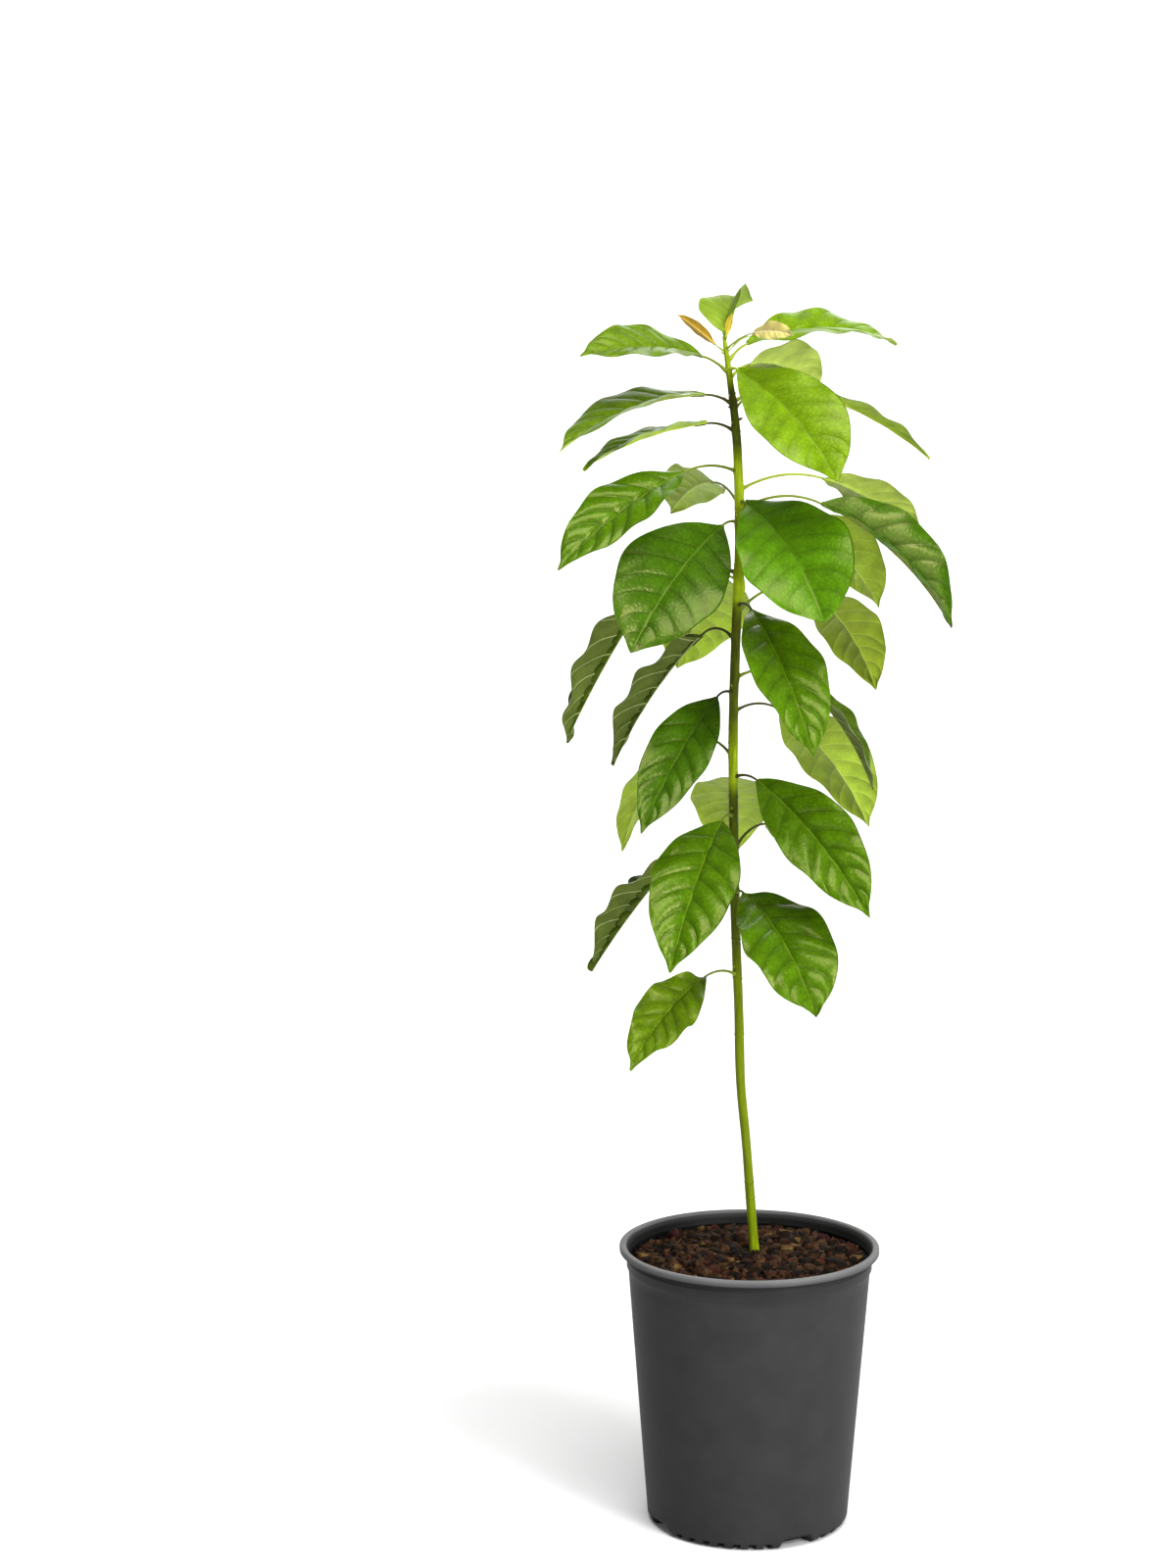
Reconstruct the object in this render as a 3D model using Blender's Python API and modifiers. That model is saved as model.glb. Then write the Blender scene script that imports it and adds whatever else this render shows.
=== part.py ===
"""A young avocado tree in a round nursery pot: one leaning stem with single leaves on petioles.

Metres, +Z up. The origin is the middle of the pot's flat underside, +X points to the right of
the front view and +Y away from the viewer. Headings are degrees counter-clockwise from +X as
seen from above, so a leaf at heading -90 grows towards the viewer.
"""

from collections import namedtuple
from math import cos, pi, radians, sin

import bmesh
import bpy
import numpy as np
from mathutils import Vector

MM = 0.001
GAP = 0.3 * MM  # left between pieces that touch

# Pot: a thin-walled container with a rolled lip and a collar below it
POT_HEIGHT = 0.2495
LIP_RADIUS = 0.1150
LIP_HEIGHT = 5.5 * MM
LIP_ROUND = 2 * MM
LIP_UNDER_ROUND = 1.5 * MM
MOUTH_RADIUS = 0.1090
MOUTH_ROUND = 1.5 * MM
COLLAR_RADIUS = 0.1085
COLLAR_HEIGHT = 22 * MM
COLLAR_LOW = POT_HEIGHT - COLLAR_HEIGHT
COLLAR_STEP = 2.5 * MM
SHOULDER_RADIUS = 0.1070
FOOT_RADIUS = 0.0895
CORNER_RADIUS = 7 * MM
WALL = 1.6 * MM
BASE_WALL = 2.0 * MM
POT_SIDES = 64

# Drains: four moulded arches under the wall, and short slots between them
ARCHES = 4
FIRST_ARCH_HEADING = -60.0
ARCH_WIDTH = 34 * MM
ARCH_HEIGHT = 8.5 * MM
ARCH_DEPTH = 13 * MM
LINING_FOOT = 1 * MM  # the linings of the arches start this far up, inside the base
LINING_TOP = ARCH_HEIGHT + WALL
DRAIN_WIDTH = ARCH_WIDTH / 3
DRAIN_HEIGHT = ARCH_HEIGHT / 2
SLOTS_BETWEEN_ARCHES = 7
SLOT_SPACING = 9.0
SLOT_WIDTH = 4 * MM
SLOT_HEIGHT = 4.5 * MM
SLOT_DEPTH = 2.5 * MM

# Potting soil, a little higher round the stem
SOIL_EDGE_DROP = 14 * MM
SOIL_TOP = 0.2415
SOIL_SEAT_RADIUS = 0.040
SOIL_SHOULDER_RADIUS = 0.075
SOIL_SHOULDER_DROP = 2 * MM

# Stem: height, then the offset to the right and to the back of the pot's middle
STEM_LINE = (
    (0.2418, 0.0050, 0.0000),
    (0.2900, 0.0010, 0.0005),
    (0.3450, -0.0035, 0.0015),
    (0.3900, -0.0080, 0.0020),
    (0.4600, -0.0105, 0.0010),
    (0.5400, -0.0140, -0.0010),
    (0.6300, -0.0162, 0.0000),
    (0.7200, -0.0170, 0.0020),
    (0.8000, -0.0148, 0.0010),
    (0.8600, -0.0128, 0.0000),
    (0.9200, -0.0135, -0.0010),
    (0.9700, -0.0165, 0.0000),
    (1.0100, -0.0218, 0.0010),
    (1.0460, -0.0268, 0.0010),
)
STEM_FOOT_RADIUS = 4.5 * MM
STEM_RADIUS = 4.1 * MM
STEM_TIP_RADIUS = 1.5 * MM
FLARE_HEIGHT = 25 * MM
TAPER_FROM = 0.86
STEM_STEP = 22 * MM
STEM_ROUNDNESS = 3
LEVEL_FOOT = 2 * MM  # the stem stands upright for this far, so that its cut lies flat

# Leaf: lengths in metres, angles in degrees
LEAF_THICKNESS = 1.5 * MM
PETIOLE_RADIUS = 1.3 * MM
PETIOLE_NECK_RADIUS = 1.1 * MM
PETIOLE_END_RADIUS = 0.5 * MM
PETIOLE_POINTS = 4
PETIOLE_SUNK = 0.16  # share of the blade's length that the petiole runs on for
STALK_GAP = 0.45 * MM  # the stem leans a little under some of the stalks
BLADE_ROWS = 10
BLADE_COLUMNS = 2
BASE_HALF_WIDTH = 1.6 * MM
TIP_HALF_WIDTH = 0.7 * MM
WIDEST_SHIFT = 0.95  # under 1 the blade is widest before its middle, over 1 past it
OUTLINE_FULLNESS = 0.85  # under 1 the blade is fuller than a sine curve
BLUNT_SHIFT = 0.6  # a wholly blunt blade has this added to WIDEST_SHIFT
BLUNT_FULLNESS = 0.25  # and this taken from OUTLINE_FULLNESS
SHARP_ANGLE = 50  # an edge that turns more than this is not shaded smooth

# A leaf is told by its height on the stem; its heading, and the sweep that it turns through
# towards the tip; the petiole's length, and its rise at the stem; the blade's length and width;
# the blade's pitch where it starts, the droop from there to its tip, its roll about the midrib,
# how far its halves fold up, and how blunt it is: 0 is egg-shaped, 1 is widest near the tip
Leaf = namedtuple(
    "Leaf",
    "height heading sweep petiole rise length width pitch droop roll fold blunt",
    defaults=(0,),
)
LEAVES = (
    Leaf(0.494, -125, 0, 0.045, 25, 0.125, 0.050, -15, 30, -35, 15),
    Leaf(0.567, -60, 0, 0.010, 25, 0.155, 0.080, -15, 40, 15, 15, 0.35),
    Leaf(0.595, 145, 0, 0.060, 35, 0.150, 0.050, -45, 10, -5, 55),
    Leaf(0.634, -110, 0, 0.025, 20, 0.165, 0.076, -30, 25, -15, 15),
    Leaf(0.607, 55, 0, 0.050, 40, 0.130, 0.060, -10, 40, -20, 15),
    Leaf(0.668, -45, 0, 0.025, 20, 0.170, 0.068, -25, 25, 35, 15),
    Leaf(0.655, 90, 0, 0.040, 30, 0.130, 0.080, -20, 40, 0, 15),
    Leaf(0.687, 125, 0, 0.090, 30, 0.140, 0.040, -35, 30, 0, 15),
    Leaf(0.741, -120, 0, 0.025, 20, 0.160, 0.056, -30, 20, -30, 15),
    Leaf(0.725, 45, 0, 0.055, 20, 0.165, 0.070, -30, 30, -30, 15),
    Leaf(0.755, 20, 0, 0.060, 25, 0.120, 0.035, -40, 30, 30, 40),
    Leaf(0.817, -65, 0, 0.025, 20, 0.170, 0.070, -30, 25, 5, 15),
    Leaf(0.789, 140, 0, 0.035, 40, 0.165, 0.050, -40, 20, -10, 45),
    Leaf(0.845, 165, 0, 0.080, 30, 0.160, 0.055, -55, 10, 0, 50),
    Leaf(0.812, 55, 0, 0.120, 30, 0.140, 0.058, -25, 35, -25, 15),
    Leaf(0.837, 115, 0, 0.020, 30, 0.140, 0.090, -25, 30, 25, 15),
    Leaf(0.885, 35, 0, 0.050, 30, 0.130, 0.065, -20, 40, -30, 15),
    Leaf(0.888, -125, 0, 0.020, 15, 0.165, 0.095, -25, 25, -35, 15, 0.3),
    Leaf(0.905, -60, 0, 0.005, 20, 0.165, 0.098, -15, 40, 25, 15, 0.7),
    Leaf(0.900, 15, 0, 0.070, 30, 0.165, 0.072, -25, 35, 45, 40),
    Leaf(0.932, -140, 0, 0.055, 20, 0.155, 0.060, -20, 20, -25, 15),
    Leaf(0.904, 110, 0, 0.060, 30, 0.130, 0.055, 0, 30, 30, 15),
    Leaf(0.917, 30, 0, 0.080, 25, 0.120, 0.050, -15, 30, -25, 15),
    Leaf(0.967, -150, 0, 0.025, 30, 0.125, 0.045, -5, 25, 5, 15),
    Leaf(0.990, -145, 0, 0.025, 30, 0.155, 0.065, 0, 35, -5, 15),
    Leaf(0.985, 65, 0, 0.030, 30, 0.120, 0.055, 5, 35, 0, 15),
    Leaf(0.992, 15, 0, 0.060, 30, 0.130, 0.040, -15, 25, -5, 15),
    Leaf(1.018, -50, 0, 0.008, 20, 0.160, 0.080, -20, 30, 30, 15, 0.45),
    Leaf(1.012, 55, 0, 0.025, 35, 0.115, 0.060, 10, 50, -30, 15),
    Leaf(1.017, -145, 0, 0.025, 40, 0.125, 0.055, 15, 30, -28, 15),
    Leaf(1.027, 30, 0, 0.020, 55, 0.155, 0.055, 20, 40, 23, 15),
)
# the young leaves round the bud at the tip
YOUNG_LEAVES = (
    Leaf(1.043, 95, -70, 0.006, 70, 0.057, 0.062, 45, 30, -15, 38, 0.4),
    Leaf(1.034, 170, 0, 0.008, 35, 0.042, 0.014, 40, 5, 50, 15),
    Leaf(1.036, -45, 0, 0.032, 35, 0.048, 0.018, 10, 25, 60, 15),
    Leaf(1.044, -60, 0, 0.003, 70, 0.020, 0.007, 70, 10, 0, 15),
    Leaf(1.034, 20, 0, 0.004, 45, 0.018, 0.008, 50, 40, 0, 15),
)


def material(name, colour, roughness):
    """A Principled BSDF with one colour."""
    made = bpy.data.materials.new(name)
    made.use_nodes = True
    shader = made.node_tree.nodes["Principled BSDF"]
    shader.inputs["Base Color"].default_value = (*colour, 1.0)
    shader.inputs["Roughness"].default_value = roughness
    return made


def as_mesh(obj):
    """The object's evaluated mesh, with doubled points welded."""
    bpy.context.view_layer.update()
    graph = bpy.context.evaluated_depsgraph_get()
    mesh = bpy.data.meshes.new_from_object(obj.evaluated_get(graph))
    shape = bmesh.new()
    shape.from_mesh(mesh)
    bmesh.ops.remove_doubles(shape, verts=shape.verts, dist=0.01 * MM)
    shape.to_mesh(mesh)
    shape.free()
    return mesh


def remove(obj):
    bpy.data.objects.remove(obj)


# Stem


def stem_at(height):
    """The stem's axis at a height, on a smooth cubic through STEM_LINE."""
    line = np.array(STEM_LINE)
    slopes = np.gradient(line[:, 1:], line[:, 0], axis=0)
    height = float(np.clip(height, line[0, 0], line[-1, 0]))
    i = int(np.clip(np.searchsorted(line[:, 0], height) - 1, 0, len(line) - 2))
    span = line[i + 1, 0] - line[i, 0]
    t = (height - line[i, 0]) / span
    start, end = line[i, 1:], line[i + 1, 1:]
    place = (
        (2 * t**3 - 3 * t**2 + 1) * start
        + (t**3 - 2 * t**2 + t) * span * slopes[i]
        + (3 * t**2 - 2 * t**3) * end
        + (t**3 - t**2) * span * slopes[i + 1]
    )
    return np.array([place[0], place[1], height])


def stem_radius(height):
    """A slight flare at the soil, one thickness most of the way, then a taper to the bud."""
    foot, top = STEM_LINE[0][0], STEM_LINE[-1][0]
    flare = max(0.0, 1 - (height - foot) / FLARE_HEIGHT)
    taper = max(0.0, (height - TAPER_FROM) / (top - TAPER_FROM))
    grown = STEM_RADIUS + (STEM_FOOT_RADIUS - STEM_RADIUS) * flare**2
    return grown + (STEM_TIP_RADIUS - STEM_RADIUS) * taper**3


def tube(name, points, radii, roundness):
    """A curve object through the points, round, with filled ends."""
    curve = bpy.data.curves.new(name, "CURVE")
    curve.dimensions = "3D"
    curve.bevel_depth = 1.0
    curve.bevel_resolution = roundness
    curve.use_fill_caps = True
    spline = curve.splines.new("POLY")
    spline.points.add(len(points) - 1)
    for point, place, radius in zip(spline.points, points, radii):
        point.co = (*place, 1.0)
        point.radius = radius
    return bpy.data.objects.new(name, curve)


def build_stem(parts, bark):
    """From a level cut on the soil to the bud, along the leaning line."""
    foot, top = STEM_LINE[0][0], STEM_LINE[-1][0]
    heights = np.linspace(foot, top, int((top - foot) / STEM_STEP) + 1)
    points = [stem_at(h) for h in heights]
    radii = [stem_radius(h) for h in heights]
    points.insert(1, points[0] + np.array([0, 0, LEVEL_FOOT]))
    radii.insert(1, radii[0])
    stem = tube("stem", points, radii, STEM_ROUNDNESS)
    stem.data.materials.append(bark)
    parts.objects.link(stem)


# Leaves


def direction(heading, pitch):
    """A unit vector from degrees of heading and of pitch above level."""
    h, p = radians(heading), radians(pitch)
    return np.array([cos(h) * cos(p), sin(h) * cos(p), sin(p)])


def walk(start, headings, pitches, length):
    """Points that leave start in equal steps, turning as the angles say, which are one a step."""
    step = length / len(headings)
    steps = [direction(h, p) * step for h, p in zip(headings, pitches)]
    return start + np.concatenate([np.zeros((1, 3)), np.cumsum(steps, axis=0)])


def petiole_line(leaf):
    """The petiole from just off the stem's bark, turning from its rise to the blade's pitch."""
    axis = stem_at(leaf.height)
    tilt = abs(sin(radians(leaf.rise)))
    clear = stem_radius(leaf.height) + STALK_GAP + PETIOLE_RADIUS * tilt
    start = axis + direction(leaf.heading, 0) * clear
    share = (np.arange(PETIOLE_POINTS) + 0.5) / PETIOLE_POINTS
    pitches = leaf.rise + (leaf.pitch - leaf.rise) * share
    return walk(start, np.full(PETIOLE_POINTS, leaf.heading), pitches, leaf.petiole)


def blade_angles(leaf, share):
    """Heading and pitch of the midrib at a share of the blade's length."""
    return leaf.heading + leaf.sweep * share, leaf.pitch - leaf.droop * share


def half_width(leaf, share):
    """Half the blade's width: an egg-shaped or a blunter outline that closes at the tip."""
    shift = WIDEST_SHIFT + BLUNT_SHIFT * leaf.blunt
    fullness = OUTLINE_FULLNESS - BLUNT_FULLNESS * leaf.blunt
    outline = sin(pi * share**shift) ** fullness if 0 < share < 1 else 0.0
    narrow = BASE_HALF_WIDTH + (TIP_HALF_WIDTH - BASE_HALF_WIDTH) * share
    return max(narrow, leaf.width / 2 * outline)


def blade_frames(leaf):
    """Midrib points, side and normal vectors and half widths, row by row from base to tip."""
    rows = np.arange(BLADE_ROWS + 1) / BLADE_ROWS
    headings, pitches = blade_angles(leaf, (rows[:-1] + rows[1:]) / 2)
    midrib = walk(petiole_line(leaf)[-1], headings, pitches, leaf.length)
    frames = []
    for share, place in zip(rows, midrib):
        heading, pitch = blade_angles(leaf, share)
        along = direction(heading, pitch)
        level = direction(heading + 90, 0)
        up = np.cross(along, level)
        roll = radians(leaf.roll)
        side = level * cos(roll) + up * sin(roll)
        normal = up * cos(roll) - level * sin(roll)
        frames.append((place, side, normal, half_width(leaf, share)))
    return frames


def blade_point(leaf, frame, across):
    """A point of the blade: across runs from -1 on its right edge to 1 on its left edge."""
    place, side, normal, half = frame
    fold = radians(leaf.fold)
    return place + (side * across * cos(fold) + normal * abs(across) * sin(fold)) * half


def build_blade(leaf, name):
    """A grid bent to the leaf's midrib and outline, folded along the midrib, with a thickness."""
    bpy.ops.mesh.primitive_grid_add(x_subdivisions=BLADE_ROWS, y_subdivisions=BLADE_COLUMNS, size=2)
    blade = bpy.context.object
    blade.name = name
    frames = blade_frames(leaf)
    for vertex in blade.data.vertices:
        row = round((vertex.co.x + 1) / 2 * BLADE_ROWS)
        vertex.co = Vector(blade_point(leaf, frames[row], vertex.co.y))
    shell = blade.modifiers.new("thickness", "SOLIDIFY")
    shell.thickness = LEAF_THICKNESS
    shell.offset = 0
    return blade


def build_petiole(leaf, name):
    """A tapering stalk that runs on into the base of the blade as its midrib."""
    stalk = list(petiole_line(leaf))
    radii = list(np.linspace(PETIOLE_RADIUS, PETIOLE_NECK_RADIUS, len(stalk)))
    frames = blade_frames(leaf)
    for row in range(1, round(PETIOLE_SUNK * BLADE_ROWS) + 1):
        stalk.append(frames[row][0])
        radii.append(PETIOLE_END_RADIUS)
    return tube(name, stalk, radii, 0)


def build_leaf(parts, leaf, name, finish):
    """Petiole and blade as one body."""
    scene = bpy.context.scene.collection
    blade = build_blade(leaf, name + "_blade")
    curve = build_petiole(leaf, name + "_curve")
    scene.objects.link(curve)
    stalk = bpy.data.objects.new(name + "_stalk", as_mesh(curve))
    stalk.matrix_world = curve.matrix_world
    remove(curve)
    scene.objects.link(stalk)
    join = blade.modifiers.new("join", "BOOLEAN")
    join.operation = "UNION"
    join.solver = "EXACT"
    join.object = stalk
    mesh = as_mesh(blade)
    mesh.shade_smooth()
    mesh.set_sharp_from_angle(angle=radians(SHARP_ANGLE))
    mesh.materials.clear()
    mesh.materials.append(finish)
    remove(blade)
    remove(stalk)
    parts.objects.link(bpy.data.objects.new(name, mesh))


# Pot and soil


def arc(middle, radius, start, end, steps):
    """Points on an arc in the profile plane, angles in degrees."""
    angles = np.radians(np.linspace(start, end, steps + 1))
    return [(middle[0] + radius * cos(a), middle[1] + radius * sin(a)) for a in angles]


def turned(name, profile, sides):
    """A closed solid from a profile of (radius, height) points turned round the Z axis."""
    mesh = bpy.data.meshes.new(name)
    edges = [(i, i + 1) for i in range(len(profile) - 1)]
    mesh.from_pydata([(r, 0, z) for r, z in profile], edges, [])
    made = bpy.data.objects.new(name, mesh)
    screw = made.modifiers.new("turn", "SCREW")
    screw.steps = screw.render_steps = sides
    screw.use_merge_vertices = True
    screw.merge_threshold = 0.01 * MM
    return made


def wall_radius(height):
    """Outer radius of the tapering wall below the collar."""
    taper = (SHOULDER_RADIUS - FOOT_RADIUS) / (COLLAR_LOW - CORNER_RADIUS)
    return FOOT_RADIUS + taper * (height - CORNER_RADIUS)


def pot_profile():
    """From the middle of the inner base, up inside, over the lip and down outside."""
    lip_low = POT_HEIGHT - LIP_HEIGHT
    corner = (FOOT_RADIUS - CORNER_RADIUS, CORNER_RADIUS)
    inside = [
        (0, BASE_WALL),
        (corner[0], BASE_WALL),
        *arc(corner, CORNER_RADIUS - WALL, -60, 0, 2),
        (SHOULDER_RADIUS - WALL, COLLAR_LOW),
        (COLLAR_RADIUS - WALL, COLLAR_LOW + COLLAR_STEP),
        (COLLAR_RADIUS - WALL, lip_low),
        (MOUTH_RADIUS, POT_HEIGHT - MOUTH_ROUND),
    ]
    lip = [
        (MOUTH_RADIUS + MOUTH_ROUND, POT_HEIGHT),
        (LIP_RADIUS - LIP_ROUND, POT_HEIGHT),
        (LIP_RADIUS, POT_HEIGHT - LIP_ROUND),
        (LIP_RADIUS, lip_low + LIP_UNDER_ROUND),
        (LIP_RADIUS - LIP_UNDER_ROUND, lip_low),
        (COLLAR_RADIUS, lip_low),
    ]
    outside = [
        (COLLAR_RADIUS, COLLAR_LOW + COLLAR_STEP),
        (SHOULDER_RADIUS, COLLAR_LOW),
        *arc(corner, CORNER_RADIUS, 0, -90, 4),
        (0, 0),
    ]
    return inside + lip + outside


def box_at(name, heading, radius, size, height):
    """A box with its middle at a radius and height on a heading, turned to face outwards."""
    bpy.ops.mesh.primitive_cube_add(size=1, rotation=(0, 0, radians(heading)))
    box = bpy.context.object
    box.name = name
    box.location = Vector(direction(heading, 0) * radius) + Vector((0, 0, height))
    box.scale = size
    return box


def arch_headings():
    return [FIRST_ARCH_HEADING + 360 / ARCHES * i for i in range(ARCHES)]


def slot_headings():
    """The slots stand evenly on both sides of the middle between two arches."""
    middle = (SLOTS_BETWEEN_ARCHES - 1) / 2
    between = [h + 180 / ARCHES for h in arch_headings()]
    return [h + SLOT_SPACING * (i - middle) for h in between for i in range(SLOTS_BETWEEN_ARCHES)]


def build_pot(parts, cutters, plastic):
    """The turned shell, lined where the arches push in, then cut for arches, drains and slots."""
    pot = turned("pot", pot_profile(), POT_SIDES)
    pot.data.materials.append(plastic)
    parts.objects.link(pot)
    linings = bpy.data.collections.new("pot_linings")
    cutters.children.link(linings)
    cuts = bpy.data.collections.new("pot_cuts")
    cutters.children.link(cuts)
    inner = FOOT_RADIUS - ARCH_DEPTH
    middle_of_wall = FOOT_RADIUS - WALL / 2
    for i, heading in enumerate(arch_headings()):
        block = box_at(
            f"lining_{i}",
            heading,
            (inner - WALL + middle_of_wall) / 2,
            (middle_of_wall - inner + WALL, ARCH_WIDTH + 2 * WALL, LINING_TOP - LINING_FOOT),
            (LINING_TOP + LINING_FOOT) / 2,
        )
        opening = box_at(
            f"arch_{i}",
            heading,
            FOOT_RADIUS,
            (2 * ARCH_DEPTH, ARCH_WIDTH, 2 * ARCH_HEIGHT),
            0,
        )
        drain = box_at(
            f"drain_{i}",
            heading,
            inner,
            (4 * WALL, DRAIN_WIDTH, DRAIN_HEIGHT),
            (ARCH_HEIGHT + BASE_WALL) / 2,
        )
        move(block, linings)
        move(opening, cuts)
        move(drain, cuts)
    for i, heading in enumerate(slot_headings()):
        size = (2 * SLOT_DEPTH, SLOT_WIDTH, 2 * SLOT_HEIGHT)
        slot = box_at(f"slot_{i}", heading, FOOT_RADIUS, size, 0)
        move(slot, cuts)
    for name, operation, group in (("line", "UNION", linings), ("cut", "DIFFERENCE", cuts)):
        boolean = pot.modifiers.new(name, "BOOLEAN")
        boolean.operation = operation
        boolean.operand_type = "COLLECTION"
        boolean.collection = group
        boolean.solver = "EXACT"


def move(obj, collection):
    """Out of its collections into this one, as a hidden helper."""
    for old in list(obj.users_collection):
        old.objects.unlink(obj)
    collection.objects.link(obj)
    obj.hide_render = True
    obj.display_type = "WIRE"


def build_soil(parts, earth):
    """The block of potting mix: clear of the wall, the base and the arches' linings."""
    over_linings = LINING_TOP + GAP
    core_radius = FOOT_RADIUS - ARCH_DEPTH - WALL - GAP
    in_collar = COLLAR_RADIUS - WALL - GAP
    profile = [
        (0, SOIL_TOP),
        (SOIL_SEAT_RADIUS, SOIL_TOP),
        (SOIL_SHOULDER_RADIUS, SOIL_TOP - SOIL_SHOULDER_DROP),
        (in_collar, POT_HEIGHT - SOIL_EDGE_DROP),
        (in_collar, COLLAR_LOW + COLLAR_STEP),
        (SHOULDER_RADIUS - WALL - GAP, COLLAR_LOW),
        (wall_radius(over_linings) - WALL - GAP, over_linings),
        (core_radius, over_linings),
        (core_radius, BASE_WALL + GAP),
        (0, BASE_WALL + GAP),
    ]
    soil = turned("potting_soil", profile, POT_SIDES)
    soil.data.materials.append(earth)
    parts.objects.link(soil)


def main():
    for obj in list(bpy.data.objects):
        remove(obj)
    parts = bpy.data.collections.new("avocado_tree_in_pot")
    cutters = bpy.data.collections.new("cutters")
    for group in (parts, cutters):
        bpy.context.scene.collection.children.link(group)
    plastic = material("pot_plastic", (0.045, 0.045, 0.047), 0.5)
    earth = material("potting_mix", (0.075, 0.035, 0.020), 0.95)
    bark = material("green_bark", (0.20, 0.30, 0.03), 0.5)
    mature = material("mature_leaf", (0.09, 0.26, 0.01), 0.4)
    young = material("young_leaf", (0.35, 0.42, 0.04), 0.4)
    for i, leaf in enumerate(LEAVES):
        build_leaf(parts, leaf, f"leaf_{i + 1:02d}", mature)
    for i, leaf in enumerate(YOUNG_LEAVES):
        build_leaf(parts, leaf, f"young_leaf_{i + 1}", young)
    build_stem(parts, bark)
    build_soil(parts, earth)
    build_pot(parts, cutters, plastic)
    cutters.hide_render = True


if __name__ == "__main__":
    main()
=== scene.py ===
# %% [markdown]
# # A young avocado tree in its nursery pot
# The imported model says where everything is: a thin-walled pot, the soil in it, one slender stem
# and 36 leaves on petioles. Those solids are few-sided on purpose. This lesson grows the finished
# plant on the same places: veined, quilted leaf blades, a stem with scars and buds, a moulded pot
# and a bed of bark and coir. Every piece is a surface worked out with numpy, because a formula
# for a leaf can be read, changed and grown again, which a sculpted leaf cannot.

from collections import namedtuple

import bpy
import numpy as np
from numpy import arange, concatenate, cos, exp, linspace, pi, radians, sin, stack
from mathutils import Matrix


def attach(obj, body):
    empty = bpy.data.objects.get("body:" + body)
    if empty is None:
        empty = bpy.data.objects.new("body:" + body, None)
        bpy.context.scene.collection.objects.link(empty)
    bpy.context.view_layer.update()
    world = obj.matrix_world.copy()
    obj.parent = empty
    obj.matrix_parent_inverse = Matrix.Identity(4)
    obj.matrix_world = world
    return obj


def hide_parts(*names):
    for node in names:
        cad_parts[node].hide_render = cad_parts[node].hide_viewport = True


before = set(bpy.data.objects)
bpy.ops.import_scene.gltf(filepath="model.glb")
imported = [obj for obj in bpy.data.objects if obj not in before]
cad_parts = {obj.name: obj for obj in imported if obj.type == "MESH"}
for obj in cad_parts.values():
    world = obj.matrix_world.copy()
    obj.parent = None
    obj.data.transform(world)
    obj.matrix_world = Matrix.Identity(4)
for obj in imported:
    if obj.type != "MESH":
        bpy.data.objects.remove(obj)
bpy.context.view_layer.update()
scene = bpy.context.scene
MM = 0.001

# %% [markdown]
# ## A mesh from a grid
# Almost everything on the plant is a grid bent in space: a tube is a grid whose columns close
# into a ring, a leaf is two grids with their borders stitched together. So a few helpers make the
# quads of such grids, and one function turns arrays into an object. Only quads are used, so that
# one array of four columns holds any mesh.

# %% Quads of a grid and a tube, and a piece


def grid_quads(rows, columns, wrap=False):
    """Quads between rows and columns of points; wrap joins the last column to the first."""
    across = columns if wrap else columns - 1
    r, c = np.meshgrid(arange(rows - 1), arange(across), indexing="ij")
    nxt = (c + 1) % columns
    corners = [r * columns + c, r * columns + nxt, (r + 1) * columns + nxt, (r + 1) * columns + c]
    return stack(corners, -1).reshape(-1, 4)


def ladder_quads(ring):
    """Closes an even ring of point numbers with quads, like the rungs of a ladder."""
    half = arange(len(ring) // 2 - 1)
    back = len(ring) - 1 - half
    return stack([ring[half], ring[back], ring[back - 1], ring[half + 1]], -1)


def tube_quads(rings, sides):
    """Quads of a tube of rings, closed at both ends."""
    last = (rings - 1) * sides
    first_end = ladder_quads(arange(sides))
    far_end = ladder_quads(last + arange(sides))[:, ::-1]
    return concatenate([grid_quads(rings, sides, wrap=True), first_end, far_end])


def make_piece(name, points, quads, finishes, finish_of=0, slot=None, replaces=()):
    """An object from points (n, 3) and quads (m, 4); finish_of numbers each quad's finish."""
    points = np.ascontiguousarray(points, np.float32).reshape(-1, 3)
    quads = np.ascontiguousarray(quads, np.int32)
    mesh = bpy.data.meshes.new(name)
    mesh.vertices.add(len(points))
    mesh.vertices.foreach_set("co", points.ravel())
    mesh.loops.add(quads.size)
    mesh.loops.foreach_set("vertex_index", quads.ravel())
    mesh.polygons.add(len(quads))
    mesh.polygons.foreach_set("loop_start", arange(0, quads.size, 4, dtype=np.int32))
    for finish in finishes:
        mesh.materials.append(finish)
    numbers = np.broadcast_to(finish_of, len(quads)).astype(np.int32)
    mesh.polygons.foreach_set("material_index", numbers)
    mesh.polygons.foreach_set("use_smooth", np.ones(len(quads), bool))
    mesh.update(calc_edges=True)
    mesh.validate()
    piece = bpy.data.objects.new(name, mesh)
    scene.collection.objects.link(piece)
    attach(piece, "root")
    if replaces:
        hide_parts(*replaces)
    print(f"{name}: {len(points)} points, {2 * len(quads)} triangles")
    return piece


# %% [markdown]
# ## The studio
# The plant stands on a white sweep: a floor that rises behind it in one curve, so no horizon
# shows. The camera stands 2.7 m away at the height of the crown and looks a little down, so the
# rim of the pot shows as an ellipse while the top leaves are seen almost level. A large window of
# light at the right and a weak one at the left let stem and pot turn darker to the left. One high
# over the front is mirrored in the lower halves of drooping blades, one behind lets the edges
# glow, and a low one at the right shows the side of the pot. Two more light only the backdrop.

# %% Camera
CAMERA_PLACE = (0.0, -2.7, 1.035)
CAMERA_DOWN, CAMERA_LEFT = 7.9, 3.03
CAMERA_LENS = 72

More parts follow.
